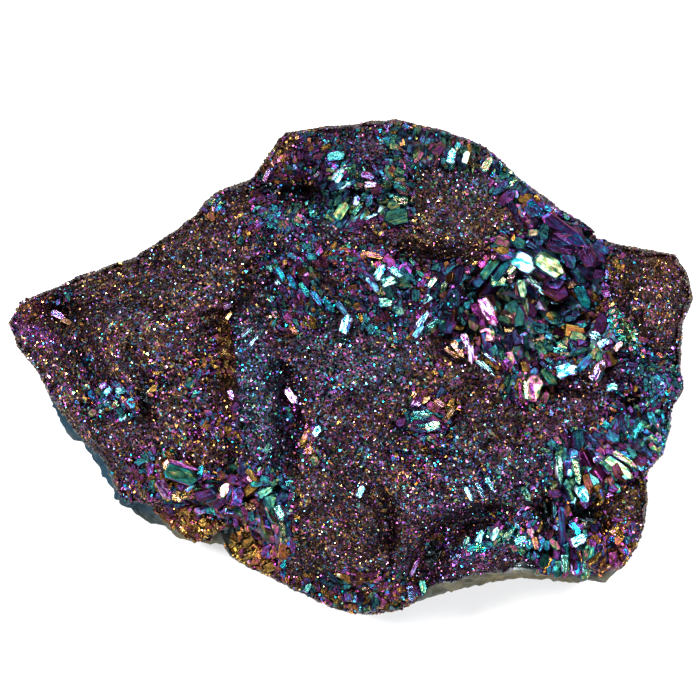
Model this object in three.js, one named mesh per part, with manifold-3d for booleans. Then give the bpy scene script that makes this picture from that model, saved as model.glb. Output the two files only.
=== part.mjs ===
// A hand-sized piece of coated chalcedony: a rough slab of banded chalcedony whose upper face is a crust of
// sugary quartz, with ledges, pits, round lumps and groups of blades and points. It is one grown piece.
// Millimetres, +Z up. The origin is at the middle of the slab's length and width, on the surface it rests on,
// and +X runs along its length. The crystal face looks up.
import * as THREE from "three";
import { mergeVertices } from "three/addons/utils/BufferGeometryUtils.js";
import Module from "manifold-3d";

const LENGTH = 68.8;
const WIDTH = 49.9;
const RIM_TOP = 8.6; // height of the crust's edge
const CROWN = 3.4; // how much higher the middle stands than the edge
const RIM_FOOT = 2.4; // height of the lower edge
const FOOT_SHARE = 0.5; // share of the underside that is flat and carries the stone
const MESH_DETAIL = 15; // how often an edge of the first icosahedron is split
const TOP_FROM = -0.3; // height on the unit ball where the upper face ends and the side begins
const SIDE_TO = -0.6; // height on the unit ball where the side ends and the underside begins

// The slab's outline seen from above, clockwise from the left tip.
const OUTLINE = [
  [-34.4, 4.9], [-33.9, 6.2], [-32.9, 6.7], [-31.1, 6.6], [-29.8, 8.0], [-28.4, 9.0], [-27.0, 9.1], [-25.8, 10.0],
  [-23.0, 10.7], [-20.6, 11.5], [-19.4, 12.7], [-18.0, 13.6], [-15.5, 15.4], [-14.5, 17.0], [-12.7, 18.3],
  [-11.0, 18.6], [-10.1, 18.5], [-9.7, 19.4], [-8.2, 21.0], [-7.2, 22.9], [-6.5, 23.7], [-2.0, 24.3], [1.5, 24.8],
  [5.0, 25.0], [6.5, 24.5], [9.0, 24.0], [11.2, 23.1], [13.0, 22.6], [14.2, 21.8], [16.0, 19.9], [17.3, 18.6],
  [19.0, 17.5], [20.4, 16.6], [21.2, 15.6], [23.0, 14.7], [23.7, 13.4], [25.0, 12.8], [27.5, 12.3], [29.0, 12.0],
  [31.2, 12.0], [33.3, 11.0], [33.8, 9.5], [34.3, 7.0], [34.4, 6.0], [33.4, 4.9], [33.0, 3.0], [33.2, 0.3],
  [33.7, -1.3], [33.2, -3.0], [32.0, -4.8], [32.1, -5.9], [32.0, -8.1], [30.6, -9.3], [29.5, -11.1],
  [29.4, -12.2], [29.7, -13.0], [29.6, -15.4], [28.6, -18.2], [26.6, -21.6], [23.0, -21.6], [20.5, -21.8],
  [18.2, -21.2], [16.2, -21.7], [13.0, -21.9], [11.2, -22.6], [8.5, -23.0], [5.0, -24.4], [2.0, -24.9],
  [-1.0, -24.5], [-4.0, -23.3], [-8.0, -21.1], [-11.2, -19.9], [-12.8, -18.2], [-13.3, -17.3], [-14.8, -17.9],
  [-17.2, -17.6], [-18.8, -16.2], [-21.0, -15.4], [-23.1, -14.2], [-24.6, -11.6], [-26.2, -9.0], [-28.6, -6.5],
  [-30.0, -4.0], [-31.2, -0.6], [-32.7, 1.1], [-33.7, 2.9],
];

// Round-edged rises and hollows: x, y, half-length, half-width, turn in degrees, rise, and how soft the edge is
// from 0, a cliff, to 1, a slope all the way.
const SWELLS = {
  upperLeftTerrace: [-19, 5.5, 13, 7, 32, -0.9, 0.8],
  leftTip: [-31.6, 2.6, 3.0, 3.4, 0, 1.5, 0.4],
  leftFlank: [-26, -7, 5, 4, -50, -0.8, 0.8],
  topHump: [-1, 21.6, 7, 2.4, 5, 1.2, 0.6],
  greyKnob: [-6.6, 20.9, 1.9, 1.7, 0, 1.6, 0.5],
  poolBank: [11.2, 16.4, 7.2, 6.0, -12, 2.6, 0.3],
  pool: [11.4, 15.8, 5.4, 4.4, -12, -1.5, 0.7],
  bladeEdge: [21, 14, 6, 2.4, -33, 1.2, 0.5],
  bladeHollow: [15.6, 6.2, 8.2, 5.6, 10, -2.9, 0.55],
  bladeHollowEast: [23, 4.2, 4.6, 5.4, 0, -2.6, 0.6],
  rightKnob: [29.6, 7.2, 4.9, 5.0, 0, 2.6, 0.35],
  rightKnobCap: [30.8, 10.5, 2.9, 1.5, -8, 0.9, 0.45],
  rightLumpOne: [30.6, 2.6, 2.8, 2.2, 0, 1.2, 0.5],
  rightLumpTwo: [30, -1.6, 4.4, 2.5, -8, 2.0, 0.4],
  rightLumpThree: [28.6, -6.6, 3.8, 2.6, -15, 1.6, 0.4],
  rightLumpFour: [27.6, -10, 2.8, 1.5, -30, 1.2, 0.4],
  lowerRightDome: [27, -14.2, 3.0, 2.8, 0, 2.2, 0.6],
  lowerRightCone: [26, -18.4, 3.0, 3.0, 0, 1.6, 0.7],
  middleShelf: [0.5, 4.0, 11, 5.6, -25, 1.5, 0.6],
  leftRidge: [-9.4, -2.6, 2.7, 9.6, 9, 2.3, 0.4],
  lowerMound: [-0.6, -13.2, 7.2, 9.6, 0, 2.4, 0.75],
  middleDome: [0.5, -3.4, 4.4, 4.2, 0, 0.9, 0.7],
  eyeRosette: [7.8, -5.8, 2.0, 1.7, 0, 1.1, 0.6],
  redLump: [12.5, -3.8, 1.5, 1.9, 0, 1.2, 0.5],
  lowerTerrace: [12.5, -11.0, 8, 3.8, 12, 1.5, 0.6],
  sugarShelf: [13.2, -18.6, 5, 2.2, 8, 0.7, 0.5],
  brokenLedge: [-16.5, -15.2, 6.4, 2.2, -14, -2.6, 0.5],
  goldLedge: [-9.6, -18.6, 3.8, 1.7, -32, -2.2, 0.45],
  crystalPit: [-11.6, -12.4, 3.2, 2.0, 0, -1.2, 0.6],
  blueColumn: [10.3, 7.6, 1.3, 3.2, -10, 2.4, 0.45],
};

// Deep pits, in the same terms.
const PITS = {
  topLeftHole: [-5.0, 17.4, 2.0, 0.9, 12, -3.4, 0.6],
  topHole: [0.4, 17.3, 1.3, 0.7, 0, -1.8, 0.7],
  rightHole: [28.2, -3.0, 1.4, 1.2, 0, -3.6, 0.8],
  bubbleOne: [19.6, -14.0, 0.9, 1.4, 0, -4.2, 0.5],
  bubbleTwo: [19.9, -17.0, 1.0, 1.6, 0, -3.6, 0.5],
  bubbleThree: [23.8, -14.6, 1.7, 1.7, 0, -4.0, 0.5],
  notchHole: [-12.0, -16.6, 0.9, 0.9, 0, -3.0, 0.6],
  hollowGap: [13.2, 2.4, 1.6, 1.0, -30, -2.0, 0.7],
  eastGap: [21.4, 4.2, 1.2, 1.8, 20, -2.2, 0.7],
  lumpGap: [19.4, -1.8, 1.6, 0.9, -45, -2.0, 0.7],
};

// Crevices: half-width, depth, and the points that each runs through.
const CREVICES = {
  leftTipValley: [1.1, 2.3, [[-29.2, 6.0], [-27.6, 3.6], [-26.6, 1.2], [-26.0, -1.2], [-25.0, -3.2]]],
  slit: [0.6, 1.9, [[-20.7, -1.4], [-20.5, -5.0]]],
  upperCrack: [0.7, 2.0, [[-6.4, 11.0], [-8.8, 10.0], [-10.4, 8.0], [-12.6, 5.2], [-13.4, 2.4], [-12.8, -1.2]]],
  ridgeCrack: [0.8, 2.6, [[-6.4, -1.2], [-6.0, -5.6], [-6.4, -8.6], [-6.8, -11.6], [-7.8, -14.0]]],
  poolLip: [0.8, 2.2, [[4.6, 11.0], [7.0, 11.0], [9.4, 10.4], [12.0, 10.8], [13.4, 9.6]]],
  columnGap: [0.8, 2.0, [[12.4, 9.6], [12.4, 6.6], [11.6, 4.0], [9.0, 2.6]]],
  overhang: [1.0, 3.0, [[7.6, -20.4], [8.2, -18.4], [9.8, -16.8], [12.0, -15.4], [14.4, -14.8]]],
  domeCrack: [0.5, 1.6, [[24.8, -16.0], [27.0, -16.8], [29.4, -17.2]]],
  lumpCrack: [0.6, 1.8, [[26.6, 1.0], [29.6, 0.6], [33.0, 0.2]]],
  lumpCrackTwo: [0.6, 1.6, [[26.2, -4.6], [29.6, -4.8], [32.6, -4.6]]],
  lumpCrackThree: [0.5, 1.4, [[25.0, -11.4], [28.0, -11.6], [30.0, -11.6]]],
  knobCrease: [0.7, 2.0, [[26.0, 8.6], [26.2, 5.6], [27.6, 2.6], [29.0, 1.4]]],
  middleCrack: [0.6, 1.5, [[1.0, -10.6], [2.4, -12.0], [3.6, -14.4], [3.6, -17.0]]],
};

// Groups of points and blades: x, y, how many, spread along and across, turn of the group in degrees, length of
// one crystal, its width, and its lean away from upright in degrees.
const POINT_GROUPS = {
  poolLeft: [4.4, 16.9, 4, 0.9, 2.4, 5, 1.8, 2.0, 25],
  topLeft: [-1.5, 18.9, 3, 2.0, 1.0, 20, 1.9, 2.4, 30],
  middleCurl: [3.2, 8.8, 3, 1.5, 1.1, 30, 2.0, 2.4, 35],
  hollowWest: [8.0, 7.2, 3, 1.0, 2.2, 60, 1.9, 2.2, 30],
  hollowMiddle: [17.6, 7.4, 5, 2.8, 2.2, 40, 2.4, 2.3, 40],
  hollowSouth: [14.2, 1.0, 3, 2.8, 0.9, -25, 2.1, 2.2, 40],
  hollowEast: [22.6, 3.0, 4, 2.0, 1.5, 10, 2.1, 2.2, 35],
  blockRow: [22.4, -0.4, 3, 1.9, 0.8, 0, 2.8, 3.0, 25],
  eastRim: [30.2, -4.6, 2, 1.4, 0.7, -15, 1.9, 2.2, 30],
  eastTeeth: [28.6, -6.8, 4, 2.8, 0.9, -25, 1.9, 2.0, 35],
  underFan: [23.4, -12.0, 2, 1.3, 0.7, -15, 1.9, 2.2, 30],
  bubbleFoot: [22.8, -17.2, 3, 1.4, 1.1, 0, 2.0, 2.3, 30],
  pitLeft: [-12.6, -12.9, 4, 2.3, 1.5, 5, 2.4, 2.4, 40],
  pitFarLeft: [-18.8, -11.8, 3, 1.6, 1.0, 70, 2.2, 2.3, 40],
  ridgeFoot: [-7.0, -14.4, 3, 0.8, 2.0, 0, 2.0, 2.3, 40],
  leftCluster: [-23.6, -3.6, 4, 2.2, 1.4, -40, 1.6, 2.0, 30],
  shelfEdge: [-7.8, 8.2, 3, 0.9, 1.1, 0, 2.2, 2.0, 30],
  eye: [8.0, -5.9, 3, 1.2, 1.1, 0, 1.7, 2.2, 30],
};

// Fans of blades: x, y of the middle, from and to angle in degrees, how many, distance of the near ends from the
// middle, blade length, width, thickness, and how far the outer end is raised, in degrees.
const FANS = {
  poolRing: [10.6, 15.1, 62, 168, 7, 4.6, 2.3, 1.7, 1.2, 4],
  lowerRightFan: [23.2, -7.4, -108, -44, 5, 1.2, 4.8, 1.3, 1.1, 6],
  coneFan: [25.2, -15.4, -112, -58, 4, 1.6, 3.2, 1.3, 1.0, -6],
  footColumns: [22.4, -13.6, -100, -78, 3, 4.4, 2.4, 1.0, 0.9, 0],
  topRightBlades: [12.0, 19.4, -34, -26, 2, 8.6, 5.6, 1.5, 1.1, 2],
  middleFan: [-13.0, 16.0, -62, -40, 3, 9.6, 3.6, 1.1, 0.9, 4],
};

// Single blades: x, y of the middle, direction in degrees, length, width, thickness, pitch in degrees.
const BLADES = {
  brightBlade: [18.9, 10.3, -30, 7.0, 2.8, 1.5, 4],
  leafBlade: [14.1, 5.4, -62, 4.6, 1.5, 1.2, 8],
  goldStubs: [15.9, 4.6, -84, 3.0, 1.0, 1.0, 0],
  edgeBlade: [21.0, 12.6, -33, 7.4, 1.7, 1.3, 3],
  edgeBladeUpper: [19.0, 16.0, -30, 4.4, 1.5, 1.2, 3],
  leanBlade: [25.0, -0.4, 60, 3.6, 1.1, 1.1, 10],
  orangeFlake: [11.9, 1.5, -58, 3.6, 1.8, 1.1, 8],
  whiteFlake: [-0.3, 4.0, 78, 2.2, 1.6, 1.0, 6],
  prismBundle: [20.1, -0.1, -45, 3.4, 1.7, 1.3, 6],
  lensCrystal: [-16.8, -10.6, -18, 4.0, 2.0, 1.2, 4],
};

const SIDES = 6; // a quartz crystal has six sides
const ROOT = 0.9; // how deep a crystal is rooted in the crust
const RAD = Math.PI / 180;
const GOLDEN_TURN = 137.50776;

const clamp01 = (t) => Math.min(1, Math.max(0, t));
const smooth = (t) => clamp01(t) ** 2 * (3 - 2 * clamp01(t));
const mix = (a, b, t) => a + (b - a) * t;

// The same unremarkable number between 0 and 1 for the same i every time.
function chance(i) {
  const s = Math.sin(i * 12.9898 + 4.137) * 43758.5453;
  return s - Math.floor(s);
}

// Smooth noise between -1 and 1 whose lumps are about one unit across.
function lumps(x, y, z) {
  const [ix, iy, iz] = [x, y, z].map(Math.floor);
  const [fx, fy, fz] = [smooth(x - ix), smooth(y - iy), smooth(z - iz)];
  const corner = (a, b, c) => chance((ix + a) * 17.13 + (iy + b) * 59.41 + (iz + c) * 113.7) * 2 - 1;
  const row = (b, c) => mix(corner(0, b, c), corner(1, b, c), fx);
  return mix(mix(row(0, 0), row(1, 0), fy), mix(row(0, 1), row(1, 1), fy), fz);
}

// Distance from the origin to the outline in direction angle.
const outlineTurns = OUTLINE.map(([x, y]) => Math.atan2(y, x));
function reach(angle) {
  const [dx, dy] = [Math.cos(angle), Math.sin(angle)];
  for (let i = 0; i < OUTLINE.length; i++) {
    const j = (i + 1) % OUTLINE.length;
    const span = Math.atan2(Math.sin(outlineTurns[j] - outlineTurns[i]), Math.cos(outlineTurns[j] - outlineTurns[i]));
    const on = Math.atan2(Math.sin(angle - outlineTurns[i]), Math.cos(angle - outlineTurns[i]));
    if (on / span < 0 || on / span > 1) continue;
    const [[ax, ay], [bx, by]] = [OUTLINE[i], OUTLINE[j]];
    return (ax * by - ay * bx) / (dx * (by - ay) - dy * (bx - ax));
  }
  throw new Error("the outline leaves a gap at angle " + angle);
}

// 1 inside a swell, 0 outside it.
function cover(x, y, [cx, cy, along, across, turn, , soft]) {
  const [c, s] = [Math.cos(turn * RAD), Math.sin(turn * RAD)];
  const [dx, dy] = [x - cx, y - cy];
  const d = Math.hypot((dx * c + dy * s) / along, (dy * c - dx * s) / across);
  return 1 - smooth((d - (1 - soft)) / (2 * soft));
}

function distanceToPath(x, y, path) {
  let nearest = Infinity;
  for (let i = 1; i < path.length; i++) {
    const [[ax, ay], [bx, by]] = [path[i - 1], path[i]];
    const [ux, uy] = [bx - ax, by - ay];
    const t = clamp01(((x - ax) * ux + (y - ay) * uy) / (ux * ux + uy * uy));
    nearest = Math.min(nearest, Math.hypot(x - ax - ux * t, y - ay - uy * t));
  }
  return nearest;
}

// Height of the crystal face at x, y, where share is how far out that is, from 0 in the middle to 1 at the edge.
function faceHeight(x, y, share) {
  let z = RIM_TOP + CROWN * (1 - share ** 3);
  for (const swell of Object.values(SWELLS)) z += swell[5] * cover(x, y, swell);
  for (const pit of Object.values(PITS)) z += pit[5] * cover(x, y, pit);
  let deepest = 0;
  for (const [half, depth, path] of Object.values(CREVICES))
    deepest = Math.max(deepest, depth * (1 - smooth(distanceToPath(x, y, path) / (2 * half))));
  z -= deepest;
  z += 0.6 * lumps(x / 3.1, y / 3.1, 1.5) + 0.5 * lumps(x / 1.35, y / 1.35, 7.5);
  return Math.max(z, RIM_FOOT + 2.5);
}

// How far the crust's edge stands back from the outline: the bare stone shows at the lower left and below.
function stepBack(angle) {
  const turn = angle / RAD;
  const lowerLeft = smooth(1 - Math.abs(turn + 152) / 32);
  const below = smooth(1 - Math.abs(turn + 55) / 24);
  return 0.35 + 2.3 * lowerLeft + 1.0 * below;
}

// A point of the unit ball, moved to the slab's surface.
function toSlab(p) {
  const angle = Math.atan2(p.y, p.x);
  const rough = 0.3 * lumps(Math.cos(angle) * 16, Math.sin(angle) * 16, 3.5);
  const edge = reach(angle) + Math.min(0, rough);
  const crustEdge = edge - stepBack(angle);
  const [c, s] = [Math.cos(angle), Math.sin(angle)];
  if (p.z >= TOP_FROM) {
    const share = Math.sqrt((1 - p.z) / (1 - TOP_FROM));
    const r = crustEdge * share;
    return [r * c, r * s, faceHeight(r * c, r * s, share)];
  }
  if (p.z > SIDE_TO) {
    const down = (TOP_FROM - p.z) / (TOP_FROM - SIDE_TO);
    const widest = stepBack(angle) > 1 ? 0.7 : 0.3;
    const top = faceHeight(crustEdge * c, crustEdge * s, 1);
    const scallop = 0.9 * lumps(angle * 7, down * 3, 5.5) + 0.4 * lumps(angle * 15, down * 5, 2.5);
    const r = down < widest
      ? mix(crustEdge, edge, smooth(down / widest))
      : mix(edge, edge - 1.8 + scallop, ((down - widest) / (1 - widest)) ** 2);
    return [r * c, r * s, mix(top, RIM_FOOT, down)];
  }
  const share = Math.sqrt((1 + p.z) / (1 + SIDE_TO));
  const scallop = 0.9 * lumps(angle * 7, 3, 5.5) + 0.4 * lumps(angle * 15, 5, 2.5);
  const r = (edge - 1.8 + scallop * share) * share;
  const lift = clamp01((share - FOOT_SHARE) / (1 - FOOT_SHARE));
  const chips = 0.7 * lumps(r * c / 5, r * s / 5, 9.5) * smooth(lift * 3) * (1 - lift * 0.5);
  return [r * c, r * s, Math.max(0, RIM_FOOT * lift ** 1.4 + chips * (lift > 0 ? 1 : 0))];
}

function slabGeometry() {
  const ball = new THREE.IcosahedronGeometry(1, MESH_DETAIL);
  ball.deleteAttribute("normal");
  ball.deleteAttribute("uv");
  const slab = mergeVertices(ball, 1e-4);
  const at = slab.attributes.position;
  const p = new THREE.Vector3();
  for (let i = 0; i < at.count; i++) at.setXYZ(i, ...toSlab(p.fromBufferAttribute(at, i)));
  return slab;
}

// Height of the finished crystal face at x, y.
function groundAt(x, y) {
  const angle = Math.atan2(y, x);
  return faceHeight(x, y, Math.min(1, Math.hypot(x, y) / (reach(angle) - stepBack(angle))));
}

// A six-sided crystal point, standing on the origin.
function pointGeometry(length, width) {
  const profile = [[0, -ROOT], [width / 2, -ROOT], [0, length]];
  return new THREE.LatheGeometry(profile.map(([r, z]) => new THREE.Vector2(r, z)), SIDES).rotateX(Math.PI / 2);
}

// A blade lying along X: a long six-sided plate that narrows towards its outer end.
function bladeGeometry(length, width, thickness) {
  const half = length / 2;
  const plan = new THREE.Shape([
    [-half, -width * 0.22], [-half * 0.55, -width / 2], [half * 0.5, -width * 0.42], [half, 0],
    [half * 0.45, width * 0.4], [-half * 0.6, width / 2], [-half, width * 0.18],
  ].map(([x, y]) => new THREE.Vector2(x, y)));
  const deep = thickness + ROOT;
  const blade = new THREE.ExtrudeGeometry(plan, { depth: deep, bevelEnabled: false });
  const at = blade.attributes.position;
  for (let i = 0; i < at.count; i++) {
    const top = at.getZ(i) > deep / 2;
    const roof = 1 - 0.5 * Math.abs(at.getX(i)) / half;
    at.setZ(i, top ? thickness * roof : -ROOT);
    if (top) at.setY(i, at.getY(i) * 0.55 + width * 0.1);
  }
  return blade;
}

// Places of all crystals, each as a geometry and a matrix.
function crystals() {
  const placed = [];
  const place = (geometry, x, y, turn, pitch) => {
    const matrix = new THREE.Matrix4().makeTranslation(x, y, groundAt(x, y));
    matrix.multiply(new THREE.Matrix4().makeRotationZ(turn * RAD));
    matrix.multiply(new THREE.Matrix4().makeRotationY(-pitch * RAD));
    placed.push(geometry.applyMatrix4(matrix));
  };
  let n = 0;
  for (const [x, y, count, along, across, turn, length, width, lean] of Object.values(POINT_GROUPS))
    for (let i = 0; i < count; i++) {
      const out = Math.sqrt((i + 0.5) / count);
      const spin = i * GOLDEN_TURN * RAD;
      const [u, v] = [along * out * Math.cos(spin), across * out * Math.sin(spin)];
      const [c, s] = [Math.cos(turn * RAD), Math.sin(turn * RAD)];
      const size = 0.8 + 0.4 * chance(++n);
      place(pointGeometry(length * size, width * size), x + u * c - v * s, y + u * s + v * c,
        spin / RAD + turn, -lean * (0.4 + 0.9 * chance(n + 500)));
    }
  for (const [x, y, from, to, count, near, length, width, thickness, pitch] of Object.values(FANS))
    for (let i = 0; i < count; i++) {
      const turn = mix(from, to, count > 1 ? i / (count - 1) : 0.5);
      const size = 0.85 + 0.3 * chance(++n);
      const out = near + (length * size) / 2;
      place(bladeGeometry(length * size, width * size, thickness), x + out * Math.cos(turn * RAD),
        y + out * Math.sin(turn * RAD), turn, pitch);
    }
  for (const [x, y, turn, length, width, thickness, pitch] of Object.values(BLADES))
    place(bladeGeometry(length, width, thickness), x, y, turn, pitch);
  return placed;
}

// Centres a solid's geometry on the origin and gives it the slab's full length and width.
function fitToSize(geometry) {
  geometry.computeBoundingBox();
  const { min, max } = geometry.boundingBox;
  geometry.translate(-(min.x + max.x) / 2, -(min.y + max.y) / 2, -min.z);
  geometry.scale(LENGTH / (max.x - min.x), WIDTH / (max.y - min.y), 1);
  return geometry;
}

const wasm = await Module();
wasm.setup();

function toSolid(geometry) {
  const bare = geometry.clone();
  bare.deleteAttribute("normal");
  bare.deleteAttribute("uv");
  const merged = mergeVertices(bare, 1e-3);
  return new wasm.Manifold(new wasm.Mesh({
    numProp: 3,
    vertProperties: merged.attributes.position.array,
    triVerts: new Uint32Array(merged.index.array),
  }));
}

function toGeometry(solid) {
  const mesh = solid.getMesh();
  const geometry = new THREE.BufferGeometry();
  geometry.setAttribute("position", new THREE.BufferAttribute(mesh.vertProperties, mesh.numProp));
  geometry.setIndex(new THREE.BufferAttribute(mesh.triVerts, 1));
  return geometry;
}

let stone = toSolid(slabGeometry());
for (const crystal of crystals()) stone = stone.add(toSolid(crystal));

const coating = new THREE.MeshStandardMaterial({ color: 0x4a3350, roughness: 0.3, metalness: 0.8, flatShading: true });
const chalcedony = new THREE.Mesh(fitToSize(toGeometry(stone)), coating);
chalcedony.name = "chalcedony";

const part = new THREE.Group();
part.add(chalcedony);

export default part;
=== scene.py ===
"""Aura chalcedony: a slab of chalcedony with a sugary crystal face under a rainbow metal film.

Run as a script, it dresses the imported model. Lengths in the tables are millimetres, angles are degrees, and
+X runs along the slab, with the crystal face up.
"""

import math
from collections import namedtuple

import bmesh
import bpy
import numpy as np
from bpy.props import FloatProperty, FloatVectorProperty, PointerProperty
from bpy.types import Operator, Panel, PropertyGroup
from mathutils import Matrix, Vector
from mathutils.bvhtree import BVHTree


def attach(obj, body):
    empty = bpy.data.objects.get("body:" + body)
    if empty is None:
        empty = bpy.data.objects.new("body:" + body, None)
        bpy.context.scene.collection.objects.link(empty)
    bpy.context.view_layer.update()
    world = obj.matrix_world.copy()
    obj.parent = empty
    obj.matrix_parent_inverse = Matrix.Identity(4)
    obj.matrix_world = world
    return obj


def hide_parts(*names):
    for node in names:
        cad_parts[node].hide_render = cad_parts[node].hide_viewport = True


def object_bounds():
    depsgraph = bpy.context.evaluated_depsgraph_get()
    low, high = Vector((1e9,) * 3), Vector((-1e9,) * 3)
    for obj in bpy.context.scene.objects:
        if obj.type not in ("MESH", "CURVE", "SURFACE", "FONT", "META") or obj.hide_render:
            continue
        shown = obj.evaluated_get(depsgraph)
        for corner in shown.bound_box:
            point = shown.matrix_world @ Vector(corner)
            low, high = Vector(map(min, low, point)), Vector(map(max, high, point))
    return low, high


bl_info = {
    "name": "Aura Chalcedony",
    "version": (1, 0, 0),
    "blender": (4, 5, 0),
    "location": "3D View > Sidebar > Aura Chalcedony",
    "description": "Builds a film-coated druzy chalcedony slab on its packed solid",
    "category": "Add Mesh",
}

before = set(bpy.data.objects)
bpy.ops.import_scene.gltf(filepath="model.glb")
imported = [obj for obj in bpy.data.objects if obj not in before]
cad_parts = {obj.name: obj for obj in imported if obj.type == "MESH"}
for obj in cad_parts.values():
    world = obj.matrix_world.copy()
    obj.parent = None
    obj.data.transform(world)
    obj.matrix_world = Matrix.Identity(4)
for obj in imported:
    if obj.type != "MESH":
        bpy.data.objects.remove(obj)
CAD_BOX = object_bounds()

MM = 0.001
NODE = "chalcedony"
BODY = "root"

# A stretch of the crystal face: its middle, half-sizes and turn, the width of its crystals, its film from 0
# (thin, gold) to 1 (thick, green and pink), how much the film differs between crystals, how bright they are,
# and which way they run, where they run one way.
Zone = namedtuple("Zone", "x y along across turn grain film spread shine run", defaults=(None,))

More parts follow.
